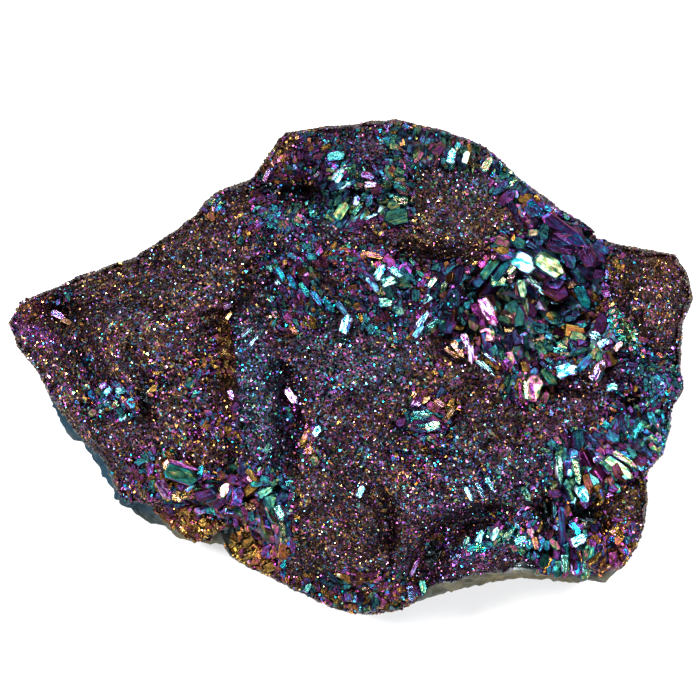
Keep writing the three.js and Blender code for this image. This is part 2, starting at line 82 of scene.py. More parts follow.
ZONES = {
    "left_field": Zone(-22, 3, 10, 8, 20, 0.31, 0.34, 0.25, 0.5),
    "left_edge_field": Zone(-29, 0, 5, 6, -50, 0.29, 0.36, 0.25, 0.9),
    "left_lip": Zone(-31, 3.3, 3.4, 1, -27, 0.21, 0.4, 0.06, 1.2),
    "upper_left_field": Zone(-16, 9, 7, 4, 35, 0.28, 0.4, 0.25, 0.53),
    "upper_left_rim": Zone(-21, 10.6, 9, 1.4, 28, 0.3, 0.3, 0.25, 0.4),
    "left_tip": Zone(-32.3, 5.6, 2.4, 1.3, 10, 0.33, 0.28, 0.14, 0.7),
    "top_left_rim": Zone(-7.5, 21.6, 2.4, 2, 50, 0.36, 0.12, 0.12, 0.4, 70),
    "top_left": Zone(-4, 18, 5, 5, 0, 0.4, 0.42, 0.16, 0.22),
    "top_left_cyan": Zone(-1.3, 18.8, 1.8, 1.6, 0, 1, 0.62, 0.12, 0.57, 20),
    "teal_band": Zone(-5.8, 15.1, 3.6, 1.2, 5, 0.42, 0.58, 0.14, 0.5),
    "big_leaf": Zone(-0.8, 15.6, 1.3, 1.5, 60, 1.2, 0.74, 0.06, 0.57, 60),
    "top_middle": Zone(2.5, 19.5, 3.4, 3.4, 0, 0.42, 0.46, 0.16, 0.33),
    "pool": Zone(10.8, 15.2, 5.8, 4.2, -12, 0.235, 0.34, 0.25, 0.42),
    "pool_top": Zone(11.4, 18, 3.6, 1.4, -12, 0.25, 0.54, 0.25, 0.6),
    "pool_foot": Zone(11, 11.6, 4, 1, -10, 0.25, 0.18, 0.25, 0.62),
    "pool_ring": Zone(9.8, 21.6, 5, 1.6, -8, 0.7, 0.62, 0.18, 0.22, 90),
    "pool_ring_left": Zone(4.6, 17, 1.3, 2.6, 5, 0.9, 0.8, 0.08, 0.43, 170),
    "pool_ring_right": Zone(16, 18.2, 1.6, 1.8, -35, 0.9, 0.7, 0.14, 0.57, 40),
    "top_right_edge": Zone(20.4, 14.2, 5, 1.6, -35, 2, 0.5, 0.1, 0.36, -33),
    "bright_blades": Zone(18.4, 10.2, 3.8, 2, -28, 1.8, 0.68, 0.16, 0.72, -30),
    "blue_blades": Zone(14.6, 9.4, 2, 1.8, -20, 1.8, 0.6, 0.1, 0.71, 50),
    "dark_hollow": Zone(22.8, 8.4, 2.4, 2.4, -35, 1.6, 0.62, 0.1, 0.36, -40),
    "blue_column": Zone(9.6, 7.4, 1.6, 3, -10, 0.8, 0.52, 0.1, 0.32, 80),
    "hollow_middle": Zone(16.5, 4.4, 4.6, 3.4, 0, 1.2, 0.6, 0.2, 0.3, -60),
    "green_druse": Zone(19.4, 3.4, 1.6, 1.4, 0, 0.5, 0.82, 0.08, 0.71),
    "white_cluster": Zone(24.6, 2.6, 2.6, 1.8, 0, 1.3, 0.58, 0.18, 0.5),
    "red_teal_lump": Zone(17.4, -2.2, 1.8, 1.5, 0, 1.2, 0.5, 0.24, 0.43, 100),
    "right_knob": Zone(29.8, 7.4, 4.2, 4.4, 0, 0.29, 0.26, 0.25, 0.6),
    "right_knob_cap": Zone(31, 10.8, 2.6, 1.2, -8, 0.24, 0.27, 0.06, 0.5),
    "green_row": Zone(27.4, 3.8, 0.8, 2.2, 35, 0.5, 0.84, 0.08, 0.79),
    "right_lobes": Zone(30.4, -1.2, 3.4, 2.2, -10, 0.38, 0.55, 0.12, 0.46),
    "right_scallops": Zone(29.8, -6.4, 2.6, 2.2, -20, 0.7, 0.58, 0.1, 0.66),
    "right_purple": Zone(27, -8, 2.4, 1.4, -30, 1.1, 0.48, 0.12, 0.62, -30),
    "brown_dome": Zone(27.2, -13.6, 2.6, 2.2, 0, 0.3, 0.27, 0.25, 0.6),
    "orange_fan": Zone(26.4, -18, 3, 3, 0, 0.6, 0.25, 0.15, 0.9, -70),
    "lower_right_fan": Zone(23.6, -10.4, 3.4, 3, -20, 1.15, 0.53, 0.15, 0.72, -70),
    "foot_columns": Zone(22.6, -18.8, 3, 2.4, 0, 1.1, 0.54, 0.2, 0.8, -85),
    "middle_field": Zone(10, -4.6, 6.5, 4.4, 0, 0.29, 0.33, 0.25, 0.5),
    "middle_low": Zone(5, -9, 8, 2.4, 8, 0.31, 0.44, 0.25, 0.7),
    "eye_rosette": Zone(7.4, -5.2, 2, 1.4, 0, 1.2, 0.64, 0.12, 0.57, 0),
    "gold_chips": Zone(8.6, -3.4, 2.4, 0.9, -10, 0.55, 0.14, 0.1, 0.57),
    "middle_cluster": Zone(3.8, 8.6, 2.4, 2, 0, 0.75, 0.62, 0.14, 0.42, -50),
    "middle_teal": Zone(-4, 6.6, 4.6, 3.2, -32, 0.42, 0.5, 0.2, 0.3, -55),
    "middle_blue": Zone(3.4, 4.8, 3.2, 2, 0, 0.42, 0.54, 0.14, 0.36),
    "middle_plain": Zone(0.6, 0.2, 5, 4, 0, 0.28, 0.52, 0.2, 0.6),
    "left_ridge": Zone(-9.2, -4, 2.4, 8, 8, 0.26, 0.58, 0.16, 0.6),
    "ridge_gold": Zone(-12.2, 0.4, 0.8, 4.6, 5, 0.34, 0.12, 0.08, 0.3),
    "lower_mound": Zone(-0.8, -14.6, 5.2, 6, 0, 0.25, 0.34, 0.25, 0.45),
    "lower_terrace": Zone(12.6, -11.4, 6.4, 3, 12, 0.31, 0.5, 0.2, 0.6, -55),
    "cyan_arch": Zone(13.4, -17.7, 3.2, 0.8, 27, 0.42, 0.65, 0.09, 1),
    "cyan_arch_right": Zone(17.1, -17.6, 1.8, 0.7, -45, 0.42, 0.68, 0.09, 1.2),
    "lower_edge": Zone(13, -19.8, 5.6, 1.6, 5, 0.26, 0.4, 0.14, 0.5),
    "bottom_edge": Zone(1, -22.6, 7, 2, 0, 0.55, 0.42, 0.26, 0.32),
    "crystal_pit": Zone(-10.4, -12.6, 3.4, 2.4, 0, 1.1, 0.46, 0.22, 0.62),
    "teal_foot": Zone(-7.4, -15.6, 1.8, 3.4, 0, 1.2, 0.58, 0.18, 0.6, -80),
    "far_left_pit": Zone(-17.2, -11.6, 3, 1.8, -15, 0.85, 0.36, 0.2, 0.6),
    "lower_left_field": Zone(-14.5, -8, 3.6, 3.4, 0, 0.37, 0.32, 0.2, 0.58),
    "left_cyan": Zone(-23.6, -3.2, 2, 1.8, 0, 0.55, 0.5, 0.16, 0.64),
    "gold_rubble": Zone(-17, -16.2, 5, 1.4, -10, 0.45, 0.1, 0.07, 0.75),
    "gold_ledge": Zone(-9.8, -18.6, 3, 1.4, -30, 0.6, 0.09, 0.07, 0.57),
}
BACKDROP = Zone(0, 0, 40, 30, 0, 0.32, 0.38, 0.18, 0.5)
BACKDROP_WEIGHT = 0.02

# Pockets that no crystals grow in, where the dark stone shows: middle, half-width, half-height and depth.
POCKETS = {
    "left_pocket": (19.6, -14.9, 0.6, 1.6, 1.4),
    "right_pocket": (23.4, -15.0, 1.4, 1.1, 0.9),
    "left_slit": (-20.5, -3.2, 0.35, 1.6, 1.4),
    "hole": (28.2, -3.4, 0.9, 0.7, 2.0),
    "top_left_gap": (-8.3, 18.0, 1.2, 0.5, 1.2),
    "overhang": (8.2, -18.6, 0.6, 1.6, 1.6),
    "notch": (-12.0, -16.6, 1.2, 0.5, 1.2),
    "column_gap": (11.7, 8.2, 0.5, 1.2, 1.4),
    "arch_foot": (17.6, -20.2, 1.4, 0.6, 1.0),
}

# The largest crystals, by where they grow: each one's middle, the way it runs, its length and width, its
# film, and how pale it shines, where paleness is a painted glint that mixes its colour towards white.
Crystal = namedtuple("Crystal", "x y turn length width film pale")
LARGE_CRYSTALS = {
    "upper right edge": [
        (21.4, 13.6, -36, 6.6, 1.5, 0.45, 0), (22, 12.9, -29, 5.4, 0.7, 0.4, 0.05),
        (20.7, 13.4, -20, 1.6, 1.1, 0.62, 0.7), (20.7, 12.1, -35, 1.5, 1.1, 0.38, 0.6),
        (18.8, 13.4, 8, 2.4, 0.8, 0.8, 0), (18.6, 15.8, -40, 2.6, 1, 0.46, 0),
    ],
    "brightest blades": [
        (17.5, 10.5, -27, 3, 2.1, 0.66, 0.8), (19.9, 10.1, -30, 3.8, 2.2, 0.78, 0.25),
        (19.3, 11.6, -27, 4.8, 0.8, 0.44, 0.1),
    ],
    "blue blades": [
        (16.3, 10, 55, 2, 0.9, 0.84, 0.1), (14, 10, 52, 3.2, 1.1, 0.68, 0),
        (15.1, 9.6, 58, 3, 1, 0.58, 0), (13.2, 8.8, 48, 2.6, 1, 0.52, 0),
        (14.8, 8.6, 10, 1.9, 1.4, 0.74, 0.1),
    ],
    "teal band": [
        (17.2, 7.8, -75, 2.2, 1, 0.74, 0.3), (17.5, 6, -85, 2.4, 1, 0.78, 0.2),
        (18.4, 8.4, -40, 2, 0.6, 0.64, 0.9), (19.2, 7.6, -35, 1.6, 0.5, 0.64, 0.9),
    ],
    "dark hollow": [
        (22.3, 8.3, 20, 1.3, 0.9, 0.08, 0.3), (23.4, 7, -60, 3.2, 1.4, 0.58, 0),
    ],
    "leaves and stack": [
        (13.9, 5.5, -58, 3.9, 1.4, 0.36, 0.65), (12.9, 5.2, -60, 3.2, 1, 0.3, 0),
        (15.8, 5.9, 5, 1, 0.8, 0.08, 0.5), (15.8, 4.9, -5, 1.1, 0.8, 0.1, 0.6),
        (15.9, 3.8, 8, 1.1, 0.8, 0.07, 0.4),
    ],
    "white cluster": [
        (21.6, 2.2, 30, 2.2, 1.5, 0.72, 0), (24.6, 3.2, -20, 1.5, 1, 0.6, 0.7),
        (25.4, 2.4, 35, 1.5, 0.9, 0.56, 0.6), (26.8, 2.1, 50, 1.4, 0.7, 0.92, 0.4),
    ],
    "fan": [
        (11.6, 2.4, -70, 2.3, 0.8, 0.36, 0.9), (10.8, 1.8, -50, 2.4, 0.8, 0.14, 0.5),
        (12, 1.3, -85, 2.2, 0.7, 0.4, 0.5), (10.2, 1.4, -35, 2, 0.6, 0.08, 0.3),
    ],
    "rays": [
        (12.9, 0.4, -42, 2.4, 0.4, 0.62, 0.9), (13.7, -0.2, -46, 2.2, 0.4, 0.62, 0.8),
        (14, 0.9, -38, 1.8, 0.4, 0.5, 0.6),
    ],
    "blocks": [
        (21.6, -0.3, 20, 2.4, 1.6, 0.64, 0.8), (19.9, -0.9, -50, 2.4, 1.3, 0.72, 0),
        (24.7, -0.3, 62, 2.8, 1.1, 0.38, 0.75), (23.4, 0.4, 55, 2.4, 1, 0.55, 0),
        (26.1, -2, 15, 1.3, 1, 0.64, 0.6),
    ],
    "stripes": [
        (16.9, -2.3, 95, 2.2, 0.5, 0.24, 0), (17.5, -2.2, 98, 2.3, 0.5, 0.8, 0.2),
        (18.1, -2.4, 101, 2.1, 0.5, 0.26, 0),
    ],
    "rosette": [
        (7.2, -4.6, 5, 2.3, 1, 0.68, 0.4), (6.8, -5.4, -25, 2, 1.2, 0.62, 0),
        (8.2, -5.8, 25, 1.8, 1, 0.72, 0.6), (5.8, -5, -70, 1.6, 0.8, 0.6, 0.1),
    ],
    "chips": [
        (7.5, -3.3, 40, 1.3, 0.6, 0.09, 0.3), (8.9, -3.6, -35, 1.4, 0.6, 0.13, 0.3),
        (9.9, -4.6, 60, 1.5, 0.6, 0.1, 0.4), (6.6, -3.6, -10, 1.1, 0.6, 0.38, 0.4),
    ],
    "lower right fan": [
        (20.8, -10.3, -85, 3.4, 0.8, 0.66, 0.7), (21.8, -10.6, -80, 3.2, 0.8, 0.45, 0),
        (22.6, -10.4, -78, 3, 0.8, 0.72, 0.2), (24.3, -11.1, -68, 2.8, 0.9, 0.57, 0.1),
        (25.2, -9.8, -45, 2.8, 0.9, 0.46, 0.2), (26.8, -10.1, -35, 4, 1.3, 0.77, 0.35),
        (27.4, -9.2, -32, 3.2, 0.7, 0.84, 0.2),
    ],
    "pockets": [
        (23.2, -12.6, -60, 2.2, 1.3, 0.64, 0.75), (22.2, -13, -75, 1.6, 0.8, 0.66, 0.5),
        (23, -14.3, 12, 1.7, 0.3, 0.62, 0.95), (23.8, -15.3, -8, 1.5, 0.3, 0.6, 0.9),
        (23.2, -15.7, 20, 1.1, 0.22, 0.1, 0.9), (19.5, -14.2, -86, 1.5, 0.25, 0.6, 0.8),
        (19.9, -15.6, -84, 1.3, 0.22, 0.46, 0.6), (22.9, -17.2, 30, 2, 1.2, 0.64, 0.75),
    ],
    "ribs": [
        (20.4, -14.3, -90, 1.8, 0.5, 0.57, 0.2), (21.2, -16.2, -88, 5.2, 0.8, 0.46, 0),
        (18, -16, -80, 2.6, 0.8, 0.98, 0.3), (18.5, -17.6, -70, 1.6, 0.7, 0.1, 0.2),
    ],
    "foot columns": [
        (21.4, -19.6, -84, 2.2, 0.8, 0.7, 0.3), (22.4, -19.8, -88, 2.3, 0.8, 0.4, 0.4),
        (23.4, -19.7, -80, 2.2, 0.8, 0.66, 0.3), (24.4, -19.4, -72, 2.2, 0.8, 0.38, 0.2),
    ],
    "middle cluster": [
        (3, 9.4, 60, 2, 1, 0.64, 0.85), (3.8, 8.5, 25, 1.8, 1.1, 0.66, 0.6),
        (2.3, 8.2, -50, 2.2, 0.8, 0.52, 0.3), (4.6, 9.4, -30, 1.8, 0.8, 0.6, 0.3),
        (3.5, 6.4, 10, 1.6, 1.1, 0.66, 0.3), (4.8, 5.7, -35, 1.5, 1, 0.64, 0.3),
        (-0.4, 4.3, 78, 2.2, 1.1, 0.6, 0.85),
    ],
    "blue column": [
        (8.2, 8.4, 60, 1.4, 0.8, 0.78, 0.7), (9.3, 8, 75, 1.3, 0.7, 0.78, 0.4),
        (7.7, 6.8, 30, 1.4, 0.9, 0.62, 0.8),
    ],
    "lilac row": [
        (7.2, 4.8, 50, 2.2, 0.7, 0.48, 0.5), (8.2, 4.3, 40, 2, 0.7, 0.64, 0.4),
        (6.8, 3.6, 55, 1.8, 0.7, 0.55, 0.2),
    ],
    "comb": [
        (-6.9, 9.2, -60, 2, 0.7, 0.55, 0), (-5.7, 8.4, -58, 2, 0.7, 0.5, 0),
        (-4.5, 7.7, -55, 2, 0.7, 0.57, 0), (-3.3, 6.8, -55, 2, 0.7, 0.48, 0),
        (-2.1, 6.1, -52, 2, 0.7, 0.56, 0), (-0.8, 5.8, -50, 2, 0.7, 0.52, 0.1),
        (-7, 8, -60, 1.6, 0.5, 0.62, 0.9),
    ],
    "left ridge streaks": [
        (-10.2, 3.5, 45, 1.6, 0.4, 0.6, 0.8), (-9.5, 2.6, 50, 1.4, 0.4, 0.6, 0.7),
    ],
    "gold crescent": [
        (2.2, 11.1, -8, 2.6, 0.7, 0.1, 0.1),
    ],
    "top left": [
        (-1.1, 19.1, 60, 1.8, 0.9, 0.66, 0.8), (-0.6, 18.1, 20, 1.6, 0.8, 0.66, 0.6),
        (-1.4, 21, 15, 2.1, 1.1, 0.59, 0.1), (1.8, 19.1, -15, 1.6, 0.8, 0.38, 0.2),
        (2.1, 18.2, 5, 1.5, 0.7, 0.38, 0.7), (0.6, 16.6, 70, 1.2, 0.7, 0.48, 0.7),
        (3.2, 16, 70, 1.8, 0.6, 0.66, 0.6), (2.2, 15, 20, 1.6, 0.35, 0.6, 0.8),
        (-0.9, 15.6, 60, 2.4, 1.3, 0.76, 0), (-8.3, 19.2, 70, 1.8, 0.5, 0.36, 0.4),
    ],
    "pool ring": [
        (10.1, 21, 80, 1.8, 0.9, 0.66, 0.8), (11.5, 20.9, 75, 1.5, 0.7, 0.8, 0.7),
        (5, 16.6, 165, 1.7, 0.9, 0.82, 0.3), (4.6, 15.4, 175, 1.5, 0.8, 0.82, 0.2),
        (13.6, 20.2, 60, 1.9, 0.9, 0.78, 0.1),
    ],
    "left cyan": [
        (-22.9, -2.3, 5, 1.2, 0.8, 0.62, 0.5), (-24.2, -2.4, 60, 1.2, 0.6, 0.6, 0.3),
        (-24.2, -3.6, 20, 0.9, 0.7, 0.6, 0.8), (-24.8, -4.4, 0, 0.8, 0.6, 0.6, 0.8),
        (-22.7, -5.1, 40, 0.9, 0.6, 0.62, 0.7),
    ],
    "left tip": [
        (-29.2, 5.2, -20, 1.7, 0.8, 0.36, 0.4), (-28.4, 4.6, -25, 1.5, 0.6, 0.1, 0.2),
    ],
    "left ridge": [
        (-5.8, -2.9, -50, 2.2, 0.9, 0.38, 0.6), (-3.3, -6.3, 60, 1.4, 0.8, 0.6, 0.7),
        (-8.2, -8, 60, 1.3, 0.7, 0.64, 0.3),
    ],
    "crystal pit": [
        (-12.4, -12.2, 50, 2, 1.2, 0.99, 0.4), (-10.1, -12, 20, 1.8, 0.8, 0.1, 0.3),
        (-9.9, -13.9, -15, 1.3, 0.8, 0.09, 0.3), (-8.4, -12.4, 35, 1.9, 0.9, 0.72, 0.1),
        (-7, -14.5, -65, 1.9, 0.9, 0.64, 0.3), (-6.7, -16.2, -80, 1.9, 0.8, 0.76, 0.1),
    ],
    "far left pit": [
        (-16.8, -10.7, -18, 3.8, 1.8, 0.7, 0), (-16.6, -9.8, -16, 3.6, 0.6, 0.28, 0.1),
        (-18.5, -12.2, -60, 2.6, 1.3, 0.37, 0.3), (-17.4, -12.8, -50, 2, 0.7, 0.1, 0.3),
        (-15, -14.4, 10, 1.4, 0.8, 0.38, 0.3),
    ],
    "ridge crack": [
        (-12.2, 6.1, 40, 1.1, 0.6, 0.37, 0.5), (-12, 5.1, 60, 1.1, 0.5, 0.1, 0.4),
        (-11.8, -2.8, -70, 1.3, 0.6, 0.37, 0.4),
    ],
    "bottom edge": [
        (6.1, -22.6, -80, 1.8, 0.8, 0.46, 0.3), (7.3, -22, -75, 1.6, 0.8, 0.7, 0.1),
        (-4.2, -22, 60, 1.6, 0.8, 0.64, 0.1), (6.4, -20, 70, 2.2, 0.5, 0.38, 0.3),
    ],
    "terrace": [
        (11.8, -12.6, -60, 2, 0.5, 0.62, 0.6), (12.9, -12.2, -60, 2, 0.5, 0.48, 0.5),
        (13.9, -11.6, -60, 1.8, 0.5, 0.64, 0.5), (17.5, -12.6, -60, 1.8, 0.8, 0.7, 0.2),
    ],
    "mound": [
        (1, -12.3, 65, 1.5, 0.8, 0.6, 0.75),
    ],
    "cyan arch": [
        (11.6, -17.5, 80, 1.5, 0.7, 0.66, 0.6), (13, -16.9, 75, 1.6, 0.7, 0.7, 0.4),
        (14.4, -16.6, 65, 1.7, 0.7, 0.66, 0.7), (15.8, -16.6, 50, 1.6, 0.7, 0.72, 0.3),
        (17, -17.2, 30, 1.5, 0.7, 0.64, 0.5),
    ],
}

# Narrow cracks and pockets between the crystals: half-width, depth and the points that each runs through.
CRACKS = {
    "top_crack": (0.5, 1.6, [(-9.5, 18.9), (-8.8, 17.7), (-5.0, 17.5), (-3.0, 17.9)]),
    "top_crack_two": (0.4, 1.2, [(-0.8, 17.3), (1.0, 17.6), (2.6, 16.8), (3.2, 14.4)]),
    "hollow_crack": (0.5, 1.5, [(12.2, 7.4), (14.6, 7.2), (16.0, 6.4), (19.6, 5.2), (21.4, 6.4)]),
    "hollow_crack_two": (0.5, 1.5, [(16.8, 4.4), (17.6, 1.6), (19.6, 0.8), (22.6, 4.4), (24.0, 5.0)]),
    "bright_crack": (0.5, 1.4, [(15.8, 8.8), (18.4, 8.9), (21.4, 8.8), (21.6, 11.0), (17.4, 12.6)]),
    "hole_rim": (0.8, 2.0, [(27.6, -3.4), (28.8, -3.4)]),
    "lobe_crack": (0.4, 1.3, [(26.4, 1.0), (29.6, 0.6), (33.0, 0.2)]),
    "lobe_crack_two": (0.4, 1.3, [(26.2, -4.9), (29.6, -4.6), (32.6, -4.8)]),
    "lobe_crack_three": (0.4, 1.3, [(24.4, -12.2), (27.4, -11.4), (30.0, -11.9)]),
    "pocket_one": (0.7, 2.4, [(19.6, -13.4), (19.7, -17.2)]),
    "pocket_two": (1.0, 2.4, [(23.3, -14.9), (24.1, -14.6)]),
    "gold_valley": (0.5, 1.2, [(3.6, -12.8), (4.3, -15.0), (4.0, -19.4)]),
    "pit_crack": (0.5, 1.6, [(-13.4, -13.4), (-10.8, -12.8), (-8.2, -13.6), (-7.8, -16.4)]),
    "far_crack": (0.5, 1.4, [(-19.8, -13.6), (-18.0, -11.0), (-14.6, -11.6), (-12.6, -14.4)]),
    "notch": (0.6, 1.6, [(-13.2, -17.0), (-12.0, -16.4), (-10.8, -16.8)]),
    "eye_crack": (0.35, 1.2, [(4.6, -5.8), (6.6, -6.8), (9.4, -6.4), (10.6, -4.6)]),
    "lump_crack": (0.4, 1.2, [(15.9, -0.8), (15.8, -3.2), (17.2, -4.2), (19.0, -3.4)]),
    "dark_spot": (0.8, 1.4, [(11.8, 8.8), (12.2, 8.6)]),
    "middle_spot": (0.6, 1.2, [(9.7, 2.7), (10.3, 2.6)]),
    "mound_spot": (0.4, 1.0, [(1.8, -12.1), (2.2, -12.2)]),
    "block_gap": (0.6, 1.6, [(19.2, -2.2), (20.6, -2.2), (22.8, -2.6)]),
}

# Where the bare chalcedony shows at the rim: from and to direction, and how far in from the outline.
BARE_RIMS = [(-178, -149, 1.3), (-78, -34, 1.4)]
RIM_FADE = 8
# Where the bare stone at the rim is ochre: its middle direction, its reach to each side, and how ochre it is.
OCHRE_RIMS = [(-55, 35, 0.9), (-134, 20, 0.8)]
OCHRE_INSET = 3
# The crust's foot on the sides, and how far in from the outline there is crust at any height.
CRUST_FOOT = 4.6
CRUST_INSET = 2.5

# Edges of the solid that are split before it is roughened, and how far the roughened stone is drawn in.
LONG_EDGE = 1.1
DRAWN_IN = 0.15
# The finest grain, and the grain at the outline and how it may grow inwards from there.
FINEST_GRAIN = 0.21
RIM_GRAIN, GRAIN_GROWTH = 0.24, 0.4
LARGEST_POINT = 0.5
# Triangles in one piece of crystals, past which they are parted into two.
PIECE_TRIANGLES = 170000

# The colours of the film, by name, from thin to thick.
FILM_COLOURS = {
    0.00: "bronze", 0.09: "gold", 0.19: "copper", 0.28: "maroon", 0.37: "magenta", 0.46: "violet",
    0.55: "blue", 0.64: "cyan", 0.73: "teal", 0.83: "green", 0.92: "pale_gold", 1.00: "pink",
}
FILM_STRENGTH = 0.8
GLINT_TINT = 0.45
DULL_ROUGH, GLINT_ROUGH = 0.38, 0.10
# Stripes and patches on blades: their noise along, across and from blade to blade, and how they change the
# film.
STRIPES, STRIPE_DRIFT = (1.1, 10.0, 40.0), 0.55
PATCHES, PATCH_DRIFT = (1.6, 1.9, 71.0), 0.36
EDGE_DRIFT = -0.24
FINE_BUMP, STRIPE_BUMP, CHIP_BUMP, BAND_BUMP = 0.1 * MM, 0.12 * MM, 0.3 * MM, 0.4 * MM
BAND_SCALE, CHIP_SCALE = 260, 420
MIX_SHARE, MIX_FIRST, MIX_SECOND, MIX_RESULT = 0, 6, 7, 2

# Plans of a blade and of a shard, one unit long and wide.
BLADE_PLAN = [(-0.5, -0.2), (-0.4, -0.44), (0.32, -0.5), (0.5, 0.02), (0.2, 0.46), (-0.42, 0.5)]
SHARD_PLAN = [(-0.46, -0.34), (0.2, -0.5), (0.5, -0.1), (0.34, 0.44), (-0.5, 0.5)]

# Soft boxes: direction, height above the horizon, width in metres and share of the power.
LIGHTS = [
    ("window_left", 155, 52, 0.252, 1.0),
    ("window_right", 35, 44, 0.204, 0.8),
    ("front_box", -75, 40, 0.18, 0.6),
    ("back_box", 95, 62, 0.132, 0.5),
    ("low_strip", -150, 30, 0.132, 0.5),
    ("low_strip_right", -15, 28, 0.12, 0.4),
]
LIGHT_FAR = 0.9

# Numbers that scatter the noise's values.
SCATTER, SEED_STEP, SCATTER_GAIN = np.array([127.1, 311.7, 74.7]), 19.19, 43758.5453

# What the stone leaves for the crystals that grow on it.
GROUND = {}


def settings():
    """The sizes and colours that a user may change."""
    return bpy.context.scene.aura_chalcedony


def noise(points, cell, seed):
    """Smooth noise from -1 to 1 at rows of x, y, z, with lumps about one cell across."""
    at = points / cell
    low = np.floor(at)
    part = at - low
    part = part * part * (3 - 2 * part)
    total = np.zeros(len(points))
    for corner in np.ndindex(2, 2, 2):
        key = (low + corner) @ SCATTER + seed * SEED_STEP
        value = np.sin(key) * SCATTER_GAIN
        weight = np.prod(np.where(corner, part, 1 - part), axis=1)
        total += weight * ((value - np.floor(value)) * 2 - 1)
    return total


def path_distance(xy, path):
    """How far rows of x, y are from a path of straight stretches."""
    nearest = np.full(len(xy), np.inf)
    for start, end in zip(path, path[1:]):
        start, along = np.array(start), np.subtract(end, start)
        t = np.clip((xy - start) @ along / (along @ along), 0, 1)
        nearest = np.minimum(nearest, np.linalg.norm(xy - start - t[:, None] * along, axis=1))
    return nearest


def crack_depth(xy):
    """How deep the cracks cut the face at rows of x, y."""
    deepest = np.zeros(len(xy))
    for half, depth, path in CRACKS.values():
        wander = 0.25 * noise(np.column_stack([xy, np.zeros(len(xy))]), 0.9, 41)
        near = np.clip(1.2 - (path_distance(xy, path) + wander) / (0.75 * half), 0, 1)
        deepest = np.maximum(deepest, 0.6 * depth * near)
    return deepest


def pocket_shares(xy):
    """For each pocket, 1 inside it at rows of x, y, 0 outside."""
    wander = 0.25 * noise(np.column_stack([xy, np.zeros(len(xy))]), 0.7, 42)
    far = [np.hypot((xy[:, 0] - x) / wide, (xy[:, 1] - y) / high) for x, y, wide, high, _ in POCKETS.values()]
    return np.clip((1.2 - np.stack(far, axis=1) - wander[:, None]) / 0.4, 0, 1)


def pocket_share(xy):
    """1 inside any pocket at rows of x, y, 0 outside."""
    return pocket_shares(xy).max(axis=1)


def pocket_depth(xy):
    """How deep the pockets cut the face at rows of x, y."""
    return (pocket_shares(xy) * [depth for *_, depth in POCKETS.values()]).max(axis=1)


def zone_shares(xy):
    """How much each zone, and last of all the backdrop, rules at rows of x, y."""
    shares = np.empty((len(xy), len(ZONES) + 1))
    for i, zone in enumerate(ZONES.values()):
        c, s = math.cos(math.radians(zone.turn)), math.sin(math.radians(zone.turn))
        dx, dy = xy[:, 0] - zone.x, xy[:, 1] - zone.y
        far = ((dx * c + dy * s) / zone.along) ** 2 + ((dy * c - dx * s) / zone.across) ** 2
        shares[:, i] = np.exp(-1.6 * far**1.5) / math.sqrt(zone.along * zone.across)
    shares[:, -1] = BACKDROP_WEIGHT
    return shares / shares.sum(axis=1, keepdims=True)


def zone_mix(shares, field):
    """A field of the zones, mixed by rows of shares."""
    return shares @ np.array([getattr(zone, field) for zone in (*ZONES.values(), BACKDROP)])


def zone_grain(shares):
    """The width of the crystals, mixed by rows of shares."""
    return np.exp(shares @ np.log([zone.grain for zone in (*ZONES.values(), BACKDROP)]))


def node_bmesh():
    """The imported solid's mesh, merged, in a bmesh of its own."""
    bm = bmesh.new()
    bm.from_mesh(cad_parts[NODE].data)
    bmesh.ops.remove_doubles(bm, verts=bm.verts, dist=1e-6)
    return bm


def finish_piece(name, mesh, material):
    """Makes a mesh a piece of the stone."""
    piece = bpy.data.objects.new(name, mesh)
    bpy.context.scene.collection.objects.link(piece)
    mesh.materials.append(material)
    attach(piece, BODY)
    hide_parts(NODE)


def inside_box(points):
    """The points in metres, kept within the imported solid's box."""
    low, high = (np.array(corner) for corner in CAD_BOX)
    return np.clip(points, low, high)


def paint(mesh, film, shade, glint, extra):
    """Stores each face's film, shade, glint and one more value as the four parts of the attribute coat. The
    shade holds painted shade and painted light as well as each crystal's own tone; on crystals the last value
    is paleness, a painted glint, and on the stone it is the bare share.
    """
    coat = mesh.attributes.new("coat", "FLOAT_COLOR", "CORNER")
    sizes = np.empty(len(mesh.polygons), np.int32)
    mesh.polygons.foreach_get("loop_total", sizes)
    rows = np.stack([film, shade, glint, extra], axis=1)
    coat.data.foreach_set("color", np.repeat(rows, sizes, axis=0).astype(np.float32).ravel())


